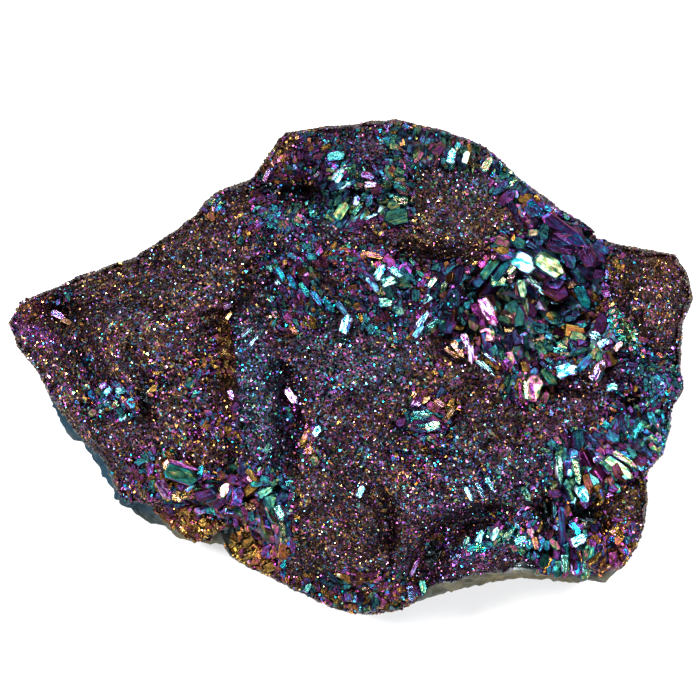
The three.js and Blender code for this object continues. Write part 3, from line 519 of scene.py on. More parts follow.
class CrystalFace:
    """The stone's own surface, for what grows on it: where it is, which way it faces and how hollow it is."""

    CELL = 0.5
    BLUR = 4

    def __init__(self, mesh):
        co = np.empty(len(mesh.vertices) * 3, np.float32)
        mesh.vertices.foreach_get("co", co)
        self.co = co.reshape(-1, 3).astype(float) / MM
        mesh.calc_loop_triangles()
        tris = np.empty(len(mesh.loop_triangles) * 3, np.int32)
        mesh.loop_triangles.foreach_get("vertices", tris)
        self.tris = tris.reshape(-1, 3)
        a, b, c = (self.co[self.tris[:, i]] for i in range(3))
        cross = np.cross(b - a, c - a)
        self.area = np.linalg.norm(cross, axis=1) / 2
        leaning = np.zeros_like(self.co)
        for corner in self.tris.T:
            np.add.at(leaning, corner, cross)
        self.normal = unit(unit(leaning)[self.tris].sum(axis=1))
        self.middle = (a + b + c) / 3
        self.tree = BVHTree.FromPolygons(self.co.tolist(), self.tris.tolist())
        self.low = self.co.min(axis=0)
        steps = np.ceil((self.co.max(axis=0) - self.low)[:2] / self.CELL).astype(int) + 1
        heights = np.full(steps, np.nan)
        for i, j in np.ndindex(*steps):
            hit = self.drop(self.low[0] + i * self.CELL, self.low[1] + j * self.CELL)
            if hit is not None:
                heights[i, j] = hit[0].z
        known = np.isfinite(heights)
        filled = np.where(known, heights, 0.0)
        self.relief = heights - self.blur(filled) / np.maximum(self.blur(known.astype(float)), 1e-6)
        self.relief[~known] = 0.0

    def blur(self, grid):
        """A grid with each value the mean of those within BLUR cells."""
        for axis in (0, 1):
            padded = np.pad(grid, [(self.BLUR, self.BLUR) if k == axis else (0, 0) for k in (0, 1)])
            starts = range(2 * self.BLUR + 1)
            grid = np.mean([np.take(padded, range(k, k + grid.shape[axis]), axis) for k in starts], axis=0)
        return grid

    def drop(self, x, y):
        """The highest point of the stone at x, y and its normal there, or None off the stone."""
        place, normal, _, _ = self.tree.ray_cast(Vector((x, y, 100.0)), Vector((0, 0, -1)))
        return (place, normal) if place is not None else None

    def height_over_round(self, xy):
        """How much higher, in millimetres, the face is at rows of x, y than round about."""
        cells = ((xy - self.low[:2]) / self.CELL).round().astype(int)
        cells = np.clip(cells, 0, np.array(self.relief.shape) - 1)
        return self.relief[cells[:, 0], cells[:, 1]]


def turn_of(points):
    """The direction of rows of x, y, z from the stone's middle, in degrees."""
    return np.degrees(np.arctan2(points[:, 1], points[:, 0]))


def bare_share(points, outline_far):
    """1 where the bare chalcedony shows at the rim and under it, 0 on the crust."""
    turn = turn_of(points)
    share = np.zeros(len(points))
    for start, end, deep in BARE_RIMS:
        on = np.clip(np.minimum(turn - start, end - turn) / RIM_FADE, 0, 1)
        share = np.maximum(share, np.clip((deep * on - outline_far) / 0.4 + 0.5, 0, 1) * (on > 0))
    return share


def ochre_share(points):
    """How ochre the bare stone is: most at the lower right rim, some at the lower left."""
    turn = turn_of(points)
    ochre = sum(most * np.clip(1 - np.abs(turn - middle) / reach, 0, 1) for middle, reach, most in OCHRE_RIMS)
    patchy = 0.35 * noise(points, 2.4, 33) + 0.25 * noise(points, 0.8, 34)
    rim = np.clip(1 - in_from_outline(points) / OCHRE_INSET, 0, 1)
    return np.clip(ochre * rim + patchy * rim, 0, 1)


def outline_reach(co):
    """How far the stone reaches in each of 360 directions, from rows of x, y, z."""
    turn = turn_of(co).astype(int) % 360
    reach = np.zeros(360)
    np.maximum.at(reach, turn, np.hypot(co[:, 0], co[:, 1]))
    return reach


def in_from_outline(points):
    """How far in from the stone's outline rows of x, y, z are."""
    reach = np.interp(turn_of(points) % 360, np.arange(360) + 0.5, GROUND["reach"], period=360)
    return reach - np.hypot(points[:, 0], points[:, 1])


def crust_share(points, normals):
    """1 on the crystal crust, 0 on the bare stone of the sides and the back."""
    deep = in_from_outline(points)
    foot = CRUST_FOOT + 0.8 * noise(points, 3.0, 3)
    share = np.maximum(np.clip((points[:, 2] - foot) / 0.8, 0, 1), np.clip(deep - CRUST_INSET, 0, 1))
    share *= np.clip((normals[:, 2] + 0.35) / 0.3, 0, 1)
    return share * (1 - bare_share(points, deep))


def feed(node, fed):
    """Gives a node's inputs, by name or number, a number, a colour or another node's output."""
    for key, value in fed.items():
        socket = node.inputs[key]
        if isinstance(value, bpy.types.NodeSocket):
            node.id_data.links.new(value, socket)
        elif socket.type == "RGBA" and len(value) == 3:
            socket.default_value = (*value, 1)
        else:
            socket.default_value = value


def add_node(tree, kind, fed, **choices):
    """A new shader node, with its choices made and then its inputs fed."""
    node = tree.nodes.new("ShaderNode" + kind)
    for name, choice in choices.items():
        setattr(node, name, choice)
    feed(node, fed)
    return node


def worked_out(tree, operation, *fed):
    """A math node's result."""
    return add_node(tree, "Math", dict(enumerate(fed)), operation=operation).outputs[0]


def swing(tree, value, reach, start):
    """A noise value's swing about its middle, times a reach, added to a start."""
    return worked_out(tree, "MULTIPLY_ADD", worked_out(tree, "SUBTRACT", value, 0.5), reach, start)


def blended(tree, share, first, second, way="MIX"):
    """Two colours mixed, from 0, the first, to 1, the second."""
    fed = {MIX_SHARE: share, MIX_FIRST: first, MIX_SECOND: second}
    return add_node(tree, "Mix", fed, data_type="RGBA", blend_type=way).outputs[MIX_RESULT]


def ranged(tree, value, low, high, new_low, new_high):
    """A value mapped from one range to another, and kept there."""
    fed = {"Value": value, "From Min": low, "From Max": high, "To Min": new_low, "To Max": new_high}
    return add_node(tree, "MapRange", fed).outputs["Result"]


def bumped(tree, height, strength, distance, **under):
    """The normal of a surface bumped by a height, over the bump under it where one is given."""
    fed = {"Height": height, "Strength": strength, "Distance": distance, **under}
    return add_node(tree, "Bump", fed).outputs["Normal"]


def film_colours(tree, thickness):
    """The colours that the film runs through as it gets thicker."""
    ramp = add_node(tree, "ValToRGB", {"Fac": thickness})
    stops = [(at, (*getattr(settings(), name), 1)) for at, name in FILM_COLOURS.items()]
    elements = ramp.color_ramp.elements
    elements[0].position, elements[0].color = stops[0]
    elements[1].position, elements[1].color = stops[-1]
    for at, colour in stops[1:-1]:
        elements.new(at).color = colour
    return ramp.outputs["Color"]


def film_group():
    """The metal film's colour and roughness, from its thickness, its shade, its glint and how pale it is. The
    shade carries painted shade and light, and paleness mixes the colour towards glint white as a painted
    glint.
    """
    if "Aura film" in bpy.data.node_groups:
        return bpy.data.node_groups["Aura film"]
    tree = bpy.data.node_groups.new("Aura film", "ShaderNodeTree")
    face = tree.interface
    for name in ("Film", "Shade", "Glint", "Pale", "Tint", "Mottle Scale", "Mottle"):
        face.new_socket(name, in_out="INPUT", socket_type="NodeSocketFloat")
    for name, kind in (("Color", "Color"), ("Roughness", "Float"), ("Height", "Float")):
        face.new_socket(name, in_out="OUTPUT", socket_type="NodeSocket" + kind)
    given = tree.nodes.new("NodeGroupInput").outputs
    out = tree.nodes.new("NodeGroupOutput")
    where = add_node(tree, "TexCoord", {}).outputs["Object"]
    spots = add_node(tree, "TexNoise", {"Vector": where, "Scale": given["Mottle Scale"], "Detail": 3})
    mottle = spots.outputs["Fac"]
    colour = film_colours(tree, swing(tree, mottle, given["Mottle"], given["Film"]))
    # The shade darkens or lightens the colour: this is where painted shade and painted light land.
    strength = worked_out(tree, "MULTIPLY_ADD", given["Shade"], FILM_STRENGTH, given["Tint"])
    tinted = blended(tree, worked_out(tree, "MINIMUM", strength, 1.0), settings().dull, colour)
    grey = add_node(tree, "CombineColor", dict.fromkeys(("Red", "Green", "Blue"), given["Shade"])).outputs[0]
    shaded = blended(tree, 1.0, tinted, grey, "MULTIPLY")
    # Painted glint: the paler a crystal, the more its colour is mixed towards glint white.
    white = blended(tree, GLINT_TINT, settings().glint_white, colour)
    rough = ranged(tree, given["Glint"], 0.0, 1.0, DULL_ROUGH, GLINT_ROUGH)
    feed(out, {"Color": blended(tree, given["Pale"], shaded, white), "Roughness": rough, "Height": mottle})
    return tree


def coated_material(name, tint, mottle_scale, mottle):
    """A new material with the attribute coat led into the film group.

    Gives the material, its shader, its group node, and coat's first two parts and its last."""
    material = bpy.data.materials.new(name)
    material.use_nodes = True
    tree = material.node_tree
    coat = add_node(tree, "Attribute", {}, attribute_name="coat")
    part = add_node(tree, "SeparateColor", {"Color": coat.outputs["Color"]}).outputs
    fed = {"Film": part["Red"], "Shade": part["Green"], "Glint": part["Blue"]}
    fed.update({"Tint": tint, "Mottle Scale": mottle_scale, "Mottle": mottle})
    film = add_node(tree, "Group", fed, node_tree=film_group())
    return material, tree.nodes["Principled BSDF"], film, part, coat.outputs["Alpha"]


def film_material(name, tint, mottle_scale, mottle, bump):
    """The film on small crystals. Pale ones, painted glints, are made less metallic so that they stay bright.
    """
    material, shader, film, _, pale = coated_material(name, tint, mottle_scale, mottle)
    tree = material.node_tree
    feed(film, {"Pale": pale})
    feed(shader, {
        "Base Color": film.outputs["Color"],
        "Roughness": film.outputs["Roughness"],
        "Metallic": worked_out(tree, "MULTIPLY_ADD", pale, -0.6, 1.0),
        "Normal": bumped(tree, film.outputs["Height"], bump, FINE_BUMP),
    })
    return material


def blade_material():
    """The film on blades: striped along them, patchy, and of another thickness at their edges. The patches
    also paint sheen, brighter in some parts and darker in others, and painted glints on pale blades.
    """
    material, shader, film, part, alpha = coated_material("Film on blades", 0.6, 2800, 0.34)
    tree = material.node_tree
    lay = add_node(tree, "Attribute", {}, attribute_name="lay").outputs["Vector"]
    stripes = lay_noise(tree, lay, STRIPES)
    patches = lay_noise(tree, lay, PATCHES)
    across = add_node(tree, "SeparateXYZ", {"Vector": lay}).outputs["Y"]
    edge = worked_out(tree, "POWER", worked_out(tree, "ABSOLUTE", across), 4.0)
    drift = swing(tree, stripes, STRIPE_DRIFT, worked_out(tree, "MULTIPLY", edge, EDGE_DRIFT))
    drift = swing(tree, patches, PATCH_DRIFT, drift)
    # Painted glint on the brightest patches of pale blades.
    painted_glint = worked_out(tree, "MULTIPLY", alpha, ranged(tree, patches, 0.44, 0.58, 0.0, 1.0))
    # Painted sheen: the patches swing each blade's shade from 0.3 to 1.5 times.
    feed(film, {
        "Film": worked_out(tree, "ADD", part["Red"], drift),
        "Shade": worked_out(tree, "MULTIPLY", part["Green"], ranged(tree, patches, 0.34, 0.66, 0.3, 1.5)),
        "Pale": painted_glint,
    })
    small = bumped(tree, film.outputs["Height"], 0.5, FINE_BUMP)
    feed(shader, {
        "Base Color": film.outputs["Color"],
        "Roughness": film.outputs["Roughness"],
        "Metallic": worked_out(tree, "MULTIPLY_ADD", painted_glint, -0.5, 1.0),
        "Normal": bumped(tree, stripes, 0.35, STRIPE_BUMP, Normal=small),
    })
    return material


def lay_noise(tree, lay, stretch):
    """Noise that runs with each blade, stretched along, across and from blade to blade."""
    way = add_node(tree, "Mapping", {"Vector": lay, "Scale": stretch}).outputs["Vector"]
    return add_node(tree, "TexNoise", {"Vector": way, "Scale": 1.0, "Detail": 3}).outputs["Fac"]


def stone_material():
    """The film on the crust's ground, and the glassy slate-blue chalcedony where it is bare."""
    material, shader, film, part, bare = coated_material("Film on stone", 0.3, 1400, 0.2)
    tree, look = material.node_tree, settings()
    where = add_node(tree, "TexCoord", {}).outputs["Object"]
    bands = add_node(tree, "TexNoise", {"Vector": where, "Scale": BAND_SCALE, "Detail": 5}).outputs["Fac"]
    slate = blended(tree, bands, look.slate_dark, look.slate)
    ochre = blended(tree, bands, look.ochre_dark, look.ochre)
    pocket = worked_out(tree, "MULTIPLY", part["Blue"], bare)
    stone = blended(tree, pocket, blended(tree, part["Red"], slate, ochre), look.glass)
    metal = worked_out(tree, "MULTIPLY_ADD", bare, -0.9, 0.9)
    matt = worked_out(tree, "MULTIPLY_ADD", bands, 0.4, 0.25)
    chips = add_node(tree, "TexVoronoi", {"Vector": where, "Scale": CHIP_SCALE}).outputs["Distance"]
    feed(shader, {
        "Base Color": blended(tree, bare, film.outputs["Color"], stone),
        "Metallic": worked_out(tree, "ADD", metal, pocket),
        "Roughness": worked_out(tree, "MULTIPLY_ADD", pocket, -0.3, matt),
        "Specular IOR Level": 0.04,
        "Normal": bumped(tree, chips, 0.35, CHIP_BUMP, Normal=bumped(tree, bands, 0.5, BAND_BUMP)),
    })
    return material


def sugar_template():
    """A stubby three-sided point, one unit wide."""
    bm = bmesh.new()
    bmesh.ops.create_cone(bm, cap_ends=True, segments=3, radius1=0.62, radius2=0, depth=0.8)
    bmesh.ops.translate(bm, verts=bm.verts, vec=(0, 0, 0.15))
    return template_arrays(bm)


def point_template():
    """A six-sided crystal with a pointed end, one unit wide and standing on its root."""
    bm = bmesh.new()
    bmesh.ops.create_cone(bm, cap_ends=True, segments=6, radius1=0.5, radius2=0.46, depth=0.9)
    top = max(bm.faces, key=lambda f: f.calc_center_median().z)
    poked = bmesh.ops.poke(bm, faces=[top])
    tip = poked["verts"][0]
    tip.co = (0.07, 0.04, tip.co.z + 0.42)
    bmesh.ops.translate(bm, verts=bm.verts, vec=(0, 0, 0.1))
    return template_arrays(bm)


def template_arrays(bm):
    """Vertices and faces of a small closed shape; the bmesh is used up."""
    bmesh.ops.recalc_face_normals(bm, faces=bm.faces)
    verts = np.array([v.co[:] for v in bm.verts])
    faces = [[v.index for v in f.verts] for f in bm.faces]
    bm.free()
    return verts, faces


def unit(v):
    """Rows, or one row, made one unit long."""
    return v / np.maximum(np.linalg.norm(v, axis=-1, keepdims=True), 1e-9)


def frames_from(axis, spin):
    """Right-handed frames whose Z is each row of axis, turned about it by each row of spin."""
    helper = np.where(np.abs(axis[:, 2:3]) > 0.9, [[1.0, 0, 0]], [[0, 0, 1.0]])
    x = unit(np.cross(helper, axis))
    y = np.cross(axis, x)
    c, s = np.cos(spin)[:, None], np.sin(spin)[:, None]
    return np.stack([x * c + y * s, y * c - x * s, axis], axis=2)


def copies_mesh(name, template, places, frames, scales):
    """One mesh of a template copied to each place, and the middle normal of each of its faces."""
    verts, faces = template
    count = len(places)
    world = np.einsum("nij,nkj->nki", frames, verts[None] * scales[:, None, :]) + places[:, None, :]
    world = inside_box(world.reshape(-1, 3) * MM)
    corners = np.concatenate([np.array(f) for f in faces])
    sizes = np.array([len(f) for f in faces])
    loops = (corners[None] + (np.arange(count) * len(verts))[:, None]).ravel()
    totals = np.tile(sizes, count)
    mesh = bpy.data.meshes.new(name)
    mesh.vertices.add(len(world))
    mesh.vertices.foreach_set("co", world.astype(np.float32).ravel())
    mesh.loops.add(len(loops))
    mesh.loops.foreach_set("vertex_index", loops.astype(np.int32))
    mesh.polygons.add(len(totals))
    mesh.polygons.foreach_set("loop_start", np.concatenate([[0], np.cumsum(totals)[:-1]]).astype(np.int32))
    mesh.update(calc_edges=True)
    mesh.validate()
    mesh.shade_flat()
    normals = np.empty(len(totals) * 3, np.float32)
    mesh.polygons.foreach_get("normal", normals)
    return mesh, normals.reshape(-1, 3)


def lay_copies(mesh, template, count, rng):
    """Stores where each corner lies on its own blade, from -1 to 1 along and across, as the attribute lay."""
    verts, faces = template
    reach = np.abs(verts).max(axis=0)
    corners = np.concatenate([np.array(f) for f in faces])
    local = (verts / reach)[corners]
    rows = np.tile(local, (count, 1))
    rows[:, 2] = np.repeat(rng.uniform(0, 1, count), len(corners))
    lay = mesh.attributes.new("lay", "FLOAT_VECTOR", "CORNER")
    lay.data.foreach_set("vector", rows.astype(np.float32).ravel())


def coat_copies(mesh, normals, faces_each, look, tilt_film, rng):
    """Paints copies: each has its own film, which also changes with the way its faces look."""
    film, shade, glint, pale = look
    count = len(film)
    facing = normals[:, 2].reshape(count, faces_each)
    aside = (normals @ unit(np.array([0.7, 0.5, 0.2]))).reshape(count, faces_each)
    face_film = film[:, None] + tilt_film * (facing - 0.62) + 0.5 * tilt_film * aside
    face_film += rng.normal(0, 0.015, face_film.shape)
    face_shade = shade[:, None] * rng.uniform(0.75, 1.15, face_film.shape)
    face_glint = np.clip(glint[:, None] + rng.uniform(-0.2, 0.2, face_film.shape), 0, 1)
    face_pale = np.repeat(pale, faces_each)
    paint(mesh, np.clip(face_film, 0, 1).ravel(), face_shade.ravel(), face_glint.ravel(), face_pale)


def stretches(places, template):
    """Copies at rows of places, parted from left to right into stretches that each make one piece."""
    triangles = len(places) * sum(len(side) - 2 for side in template[1])
    return np.array_split(np.argsort(places[:, 0], kind="stable"), triangles // PIECE_TRIANGLES + 1)


def sow(face, grain_from, grain_to, size, cover, rng):
    """Places where the zones' grain is in a range, spread over the crust: their faces, points and widths."""
    grain = zone_grain(GROUND["shares"])
    grain *= np.exp(0.3 * noise(face.middle, 2.2, 61) * np.clip(1.3 - grain, 0.2, 1))
    grain = np.clip(grain, FINEST_GRAIN, RIM_GRAIN + GRAIN_GROWTH * np.maximum(GROUND["deep"], 0))
    wanted = (grain >= grain_from) & (grain < grain_to) & (GROUND["crust"] > 0.3)
    grain = grain * size
    open_area = face.area * np.clip(1.15 * face.normal[:, 2], 0.4, 1)
    running = np.cumsum(np.where(wanted, cover * open_area / (grain * grain), 0.0))
    count = int(running[-1])
    marks = np.arange(count) + rng.uniform(0, 1, count)
    picked = np.minimum(np.searchsorted(running, marks), len(running) - 1)
    u, v = rng.uniform(0, 1, (2, count))
    flip = u + v > 1
    u, v = np.where(flip, 1 - u, u), np.where(flip, 1 - v, v)
    a, b, c = (face.co[face.tris[picked, i]] for i in range(3))
    places = a + u[:, None] * (b - a) + v[:, None] * (c - a)
    return picked, places, grain[picked]


def grown_look(face, picked, places, rng):
    """Film, shade, glint and paleness of crystals at rows of places. The shade is painted: darker in hollows
    and on steep sides, lighter on proud places, and much brighter on a few crystals, the brightest of which
    are pale, as painted glints.
    """
    shares = GROUND["shares"][picked]
    relief = face.height_over_round(places[:, :2])
    hollow, proud = np.clip(-relief / 1.2, 0, 1), np.clip(relief / 1.2, 0, 1)
    steep = np.clip((0.55 - face.normal[picked, 2]) / 0.5, 0, 1)
    film = zone_mix(shares, "film") + 0.07 * noise(places, 2.6, 11) + 0.05 * noise(places, 0.9, 12)
    film += zone_mix(shares, "spread") * rng.normal(0, 1, len(places))
    film = film * (1 - 0.55 * steep * hollow) - 0.10 * steep
    shine = zone_mix(shares, "shine")
    luck = rng.uniform(0, 1, len(places))
    # A few crystals are painted much brighter than the rest: painted glints.
    shade = shine * (0.10 + 0.27 * luck + 2.4 * luck ** settings().contrast)
    # Painted shade in hollows and on steep sides, painted light on proud places.
    shade *= (1 - 0.15 * hollow) * (1 + 0.35 * proud) * (1 - 0.2 * steep) * (1 + 0.4 * noise(places, 1.3, 13))
    glint = np.clip(rng.uniform(0.3, 1.6, len(places)) * (shine + 0.2), 0, 1)
    # The palest crystals are painted glints, and none are in hollows.
    pale = np.clip((luck - 0.955) * 20, 0, 0.75) * np.clip(1.3 * shine, 0, 1) * (1 - hollow)
    return np.clip(film, 0, 1), np.clip(shade, 0, 1.6), glint, pale


class AURA_OT_stage(Operator):
    """Adds the camera, the floor and the studio light"""

    bl_idname = "aura.stage"
    bl_label = "Stage"

    def execute(self, context):
        look = settings()
        scene = context.scene
        camera = bpy.data.cameras.new("camera")
        camera.sensor_width = 36
        view = bpy.data.objects.new("camera", camera)
        scene.collection.objects.link(view)
        top = CAD_BOX[1][2]
        view.location = (0, 1.7 * MM, look.camera_height)
        camera.lens = camera.sensor_width * (look.camera_height - 0.6 * top) / look.view_width
        camera.clip_start = 0.01
        scene.camera = view

        mesh = bpy.data.meshes.new("floor")
        bm = bmesh.new()
        bmesh.ops.create_grid(bm, x_segments=1, y_segments=1, size=4)
        bm.to_mesh(mesh)
        bm.free()
        floor = bpy.data.objects.new("floor", mesh)
        floor.location.z = CAD_BOX[0][2] - 0.02 * MM
        scene.collection.objects.link(floor)
        pale = bpy.data.materials.new("Pale floor")
        pale.use_nodes = True
        shader = pale.node_tree.nodes["Principled BSDF"]
        feed(shader, {"Base Color": (0.50, 0.50, 0.505, 1), "Roughness": 0.7})
        mesh.materials.append(pale)

        for name, turn, rise, width, power in LIGHTS:
            add_light(name, turn, rise, width, power * look.light_power)
        add_world(look.room_light)
        scene.view_settings.view_transform = "Standard"
        return {"FINISHED"}


def toward(turn, rise):
    """The direction of a light."""
    t, r = math.radians(turn), math.radians(rise)
    return np.array([math.cos(r) * math.cos(t), math.cos(r) * math.sin(t), math.sin(r)])


def add_light(name, turn, rise, width, power):
    """A square soft box that shines on the stone."""
    lamp = bpy.data.lights.new(name, "AREA")
    lamp.shape = "SQUARE"
    lamp.size = width
    lamp.energy = power
    place = bpy.data.objects.new(name, lamp)
    place.location = LIGHT_FAR * toward(turn, rise)
    place.rotation_euler = (-Vector(place.location)).to_track_quat("-Z", "Y").to_euler()
    bpy.context.scene.collection.objects.link(place)


def add_world(strength):
    """A dim room for the stone to reflect, behind a pale backdrop."""
    world = bpy.data.worlds.new("Studio")
    world.use_nodes = True
    tree = world.node_tree
    tree.nodes.clear()
    room = add_node(tree, "Background", {"Color": (0.9, 0.95, 1, 1), "Strength": strength})
    backdrop = add_node(tree, "Background", {"Color": (0.93, 0.93, 0.94, 1)})
    seen = add_node(tree, "LightPath", {}).outputs["Is Camera Ray"]
    mixed = add_node(tree, "MixShader", {"Fac": seen, 1: room.outputs[0], 2: backdrop.outputs[0]})
    add_node(tree, "OutputWorld", {"Surface": mixed.outputs[0]})
    bpy.context.scene.world = world


class AURA_OT_stone(Operator):
    """Makes the stone itself, with its rough crust, bare rim and back"""

    bl_idname = "aura.stone"
    bl_label = "Stone"

    def execute(self, context):
        bm = node_bmesh()
        bmesh.ops.triangulate(bm, faces=bm.faces)
        mesh = bpy.data.meshes.new("chalcedony_body")
        bm.to_mesh(mesh)
        solid = CrystalFace(mesh)
        for _ in range(2):
            long_edges = [edge for edge in bm.edges if edge.calc_length() > LONG_EDGE * MM]
            bmesh.ops.subdivide_edges(bm, edges=long_edges, cuts=1, use_grid_fill=True)
            bmesh.ops.triangulate(bm, faces=bm.faces)
        bmesh.ops.subdivide_edges(bm, edges=bm.edges, cuts=1, use_grid_fill=True)
        bmesh.ops.triangulate(bm, faces=bm.faces)
        bm.normal_update()
        co = np.array([v.co[:] for v in bm.verts]) / MM
        normal = np.array([v.normal[:] for v in bm.verts])
        GROUND["reach"] = outline_reach(co)
        crust = crust_share(co, normal)
        rough = 0.10 * noise(co, 0.7, 21) + 0.12 * noise(co, 1.5, 22)
        ledges = np.floor(3 * noise(co * np.array([1, 1, 1.8]), 1.5, 25)) / 3
        chipped = 0.22 * noise(co, 0.5, 24) + 0.5 * np.minimum(ledges, 0)
        rough = rough * crust + (rough + chipped) * (1 - crust)
        rough += 0.25 * noise(co, 0.6, 26) * pocket_share(co[:, :2])
        moved = co + normal * (rough - DRAWN_IN)[:, None]
        moved[:, 2] += 0.55 * np.clip(-solid.height_over_round(co[:, :2]) - 0.3, 0, 1.6) * crust
        moved[:, 2] -= np.maximum(crack_depth(co[:, :2]), pocket_depth(co[:, :2])) * crust
        moved[co[:, 2] < 0.02] = co[co[:, 2] < 0.02]
        for vert, place in zip(bm.verts, inside_box(moved * MM)):
            vert.co = place
        bm.to_mesh(mesh)
        bm.free()
        GROUND["face"] = face = CrystalFace(mesh)
        crust = crust_share(face.middle, face.normal)
        pockets = crust * pocket_share(face.middle[:, :2])
        GROUND["crust"] = crust - pockets
        GROUND["shares"] = zone_shares(face.middle[:, :2])
        GROUND["deep"] = in_from_outline(face.middle)
        rng = np.random.default_rng(5)
        film, shade, glint, _ = grown_look(face, np.arange(len(face.middle)), face.middle, rng)
        bare = 1 - GROUND["crust"]
        film = film * (1 - bare) + ochre_share(face.middle) * bare
        glint = glint * (1 - bare) + pockets * bare
        # The ground between coarse crystals is painted lighter, as painted light in their gaps; its shade
        # also carries the painted shade and light of grown_look.
        coarse = np.clip(zone_grain(GROUND["shares"]) - 0.35, 0, 0.5)
        paint(mesh, film, 0.04 + 0.35 * shade + 0.4 * coarse, glint, bare)
        finish_piece("chalcedony_body", mesh, stone_material())
        return {"FINISHED"}


def grow(name, template, material, picked, places, frames, scales, brighter, tilt_film, rng):
    """One piece of crystals grown on the stone."""
    mesh, normals = copies_mesh(name, template, places, frames, scales)
    film, shade, glint, pale = grown_look(GROUND["face"], picked, places, rng)
    coat_copies(mesh, normals, len(template[1]), (film, shade + brighter, glint, pale), tilt_film, rng)
    finish_piece(name, mesh, material)


class AURA_OT_sugar(Operator):
    """Grows the sugar of the finest crystals, in a few pieces from left to right"""

    bl_idname = "aura.sugar"
    bl_label = "Fine sugar crystals"

    def execute(self, context):
        face, look = GROUND["face"], settings()
        rng = np.random.default_rng(11)
        picked, places, grain = sow(face, 0.0, 0.45, look.sugar_size, look.sugar_cover, rng)
        template = sugar_template()
        material = film_material("Film on sugar", 0.22, 2500, 0.06, 0.1)
        for number, part in enumerate(stretches(places, template)):
            axis = unit(face.normal[picked[part]] + rng.normal(0, 0.8, (len(part), 3)))
            frames = frames_from(axis, rng.uniform(0, 2 * math.pi, len(part)))
            wide = rng.uniform(0.75, 1.3, len(part)) * np.where(rng.uniform(0, 1, len(part)) > 0.97, 1.9, 1)
            scales = (grain[part] * wide)[:, None] * np.array([[1, 1, 0.95]])
            name = f"sugar_crystals_{number + 1}"
            grow(name, template, material, picked[part], places[part], frames, scales, 0.0, 0.12, rng)
        return {"FINISHED"}


class AURA_OT_points(Operator):
    """Grows the middle-sized six-sided points"""

    bl_idname = "aura.points"
    bl_label = "Crystal points"

    def execute(self, context):
        face = GROUND["face"]
        rng = np.random.default_rng(12)
        picked, places, grain = sow(face, 0.34, 9.0, 1.0, settings().point_cover, rng)
        grain = np.minimum(grain, LARGEST_POINT)
        axis = unit(face.normal[picked] + rng.normal(0, 0.7, (len(places), 3)))
        frames = frames_from(axis, rng.uniform(0, 2 * math.pi, len(places)))
        scales = grain[:, None] * rng.uniform(0.6, 1.15, (len(places), 1)) * np.array([[1, 1, 0.75]])
        template = point_template()
        material = film_material("Film on points", 0.6, 1500, 0.14, 0.15)
        for number, part in enumerate(stretches(places, template)):
            name = f"crystal_points_{number + 1}"
            rows = (picked[part], places[part], frames[part], scales[part])
            grow(name, template, material, *rows, 0.1, 0.26, rng)
        return {"FINISHED"}


def flow_turn(picked, places):
    """The way, in plan, that blades at rows of places run: it turns slowly from place to place."""
    rulers = np.argmax(GROUND["shares"][picked], axis=1)
    turn = math.pi * noise(places, 3.2, 51)
    for i, zone in enumerate(ZONES.values()):
        here = rulers == i
        if zone.run is not None:
            turn[here] = math.radians(zone.run) + 0.5 * noise(places[here], 2.2, 52)
    return turn


def flow_rows(face, rng):
    """Blades that overlap like shingles over the coarse zones: rows of middle, way, up, size and look."""
    look = settings()
    picked, places, grain = sow(face, 0.36, 9.0, 1.0, look.blade_cover, rng)
    open_ground = pocket_share(places[:, :2]) < 0.2
    picked, places, grain = picked[open_ground], places[open_ground], grain[open_ground]
    shares = GROUND["shares"][picked]
    turn = flow_turn(picked, places) + rng.normal(0, 0.22, len(places))
    size = grain * np.exp(np.clip(0.3 * rng.normal(0, 1, len(places)), -0.6, 0.45))
    long = size * rng.uniform(1.0, 2.0, len(places)) + 0.15
    wide = long * rng.uniform(0.3, 0.75, len(places))
    lean = [noise(places, 1.7, seed) * 0.42 + rng.normal(0, 0.14, len(places)) for seed in (53, 54)]
    up = unit(np.column_stack([*lean, np.ones(len(places))]))
    film = zone_mix(shares, "film") + zone_mix(shares, "spread") * (
        1.5 * noise(places, 2.0, 55) + rng.normal(0, 1, len(places))
    )
    film = np.where(rng.uniform(0, 1, len(places)) < 0.1, film - 0.26, film)
    patch = np.clip(0.5 + 0.7 * noise(places, 1.5, 56) + rng.normal(0, 0.12, len(places)), 0, 1)
    luck = rng.uniform(0, 1, len(places))
    # Patchy tone, with a rare bright tail of painted highlights.
    shade = zone_mix(shares, "shine") * (0.25 + 0.4 * patch**3 + 1.15 * luck**8 / np.maximum(grain, 1))
    # Pale blades are painted glints.
    pale = np.clip((luck - 0.92) * 9, 0, 0.7) * np.clip(zone_mix(shares, "shine"), 0, 1)
    lift = 0.12 * grain + rng.uniform(-0.08, 0.12, len(places))
    return list(zip(places[:, 0], places[:, 1], turn, up, long, wide, lift, film, shade, pale))


def large_crystal_rows(rng):
    """The largest crystals, each turned to face one of the soft boxes as seen from above."""
    rows = []
    for i, crystal in enumerate(Crystal(*row) for group in LARGE_CRYSTALS.values() for row in group):
        _, turn, rise, _, _ = LIGHTS[i % 3]
        aim = 0.15 + crystal.pale
        up = unit(np.array([0, 0, 1.0]) + aim * toward(turn, rise) + rng.normal(0, 0.08, 3))
        # Pale crystals are painted brighter: painted glints.
        shade = 0.38 + 0.45 * crystal.pale
        size = (0.92 * crystal.length, 0.92 * crystal.width)
        lift = 0.45 + 0.12 * crystal.length
        look = (crystal.film, shade, crystal.pale)
        rows.append((crystal.x, crystal.y, math.radians(crystal.turn), up, *size, lift, *look))
    return rows


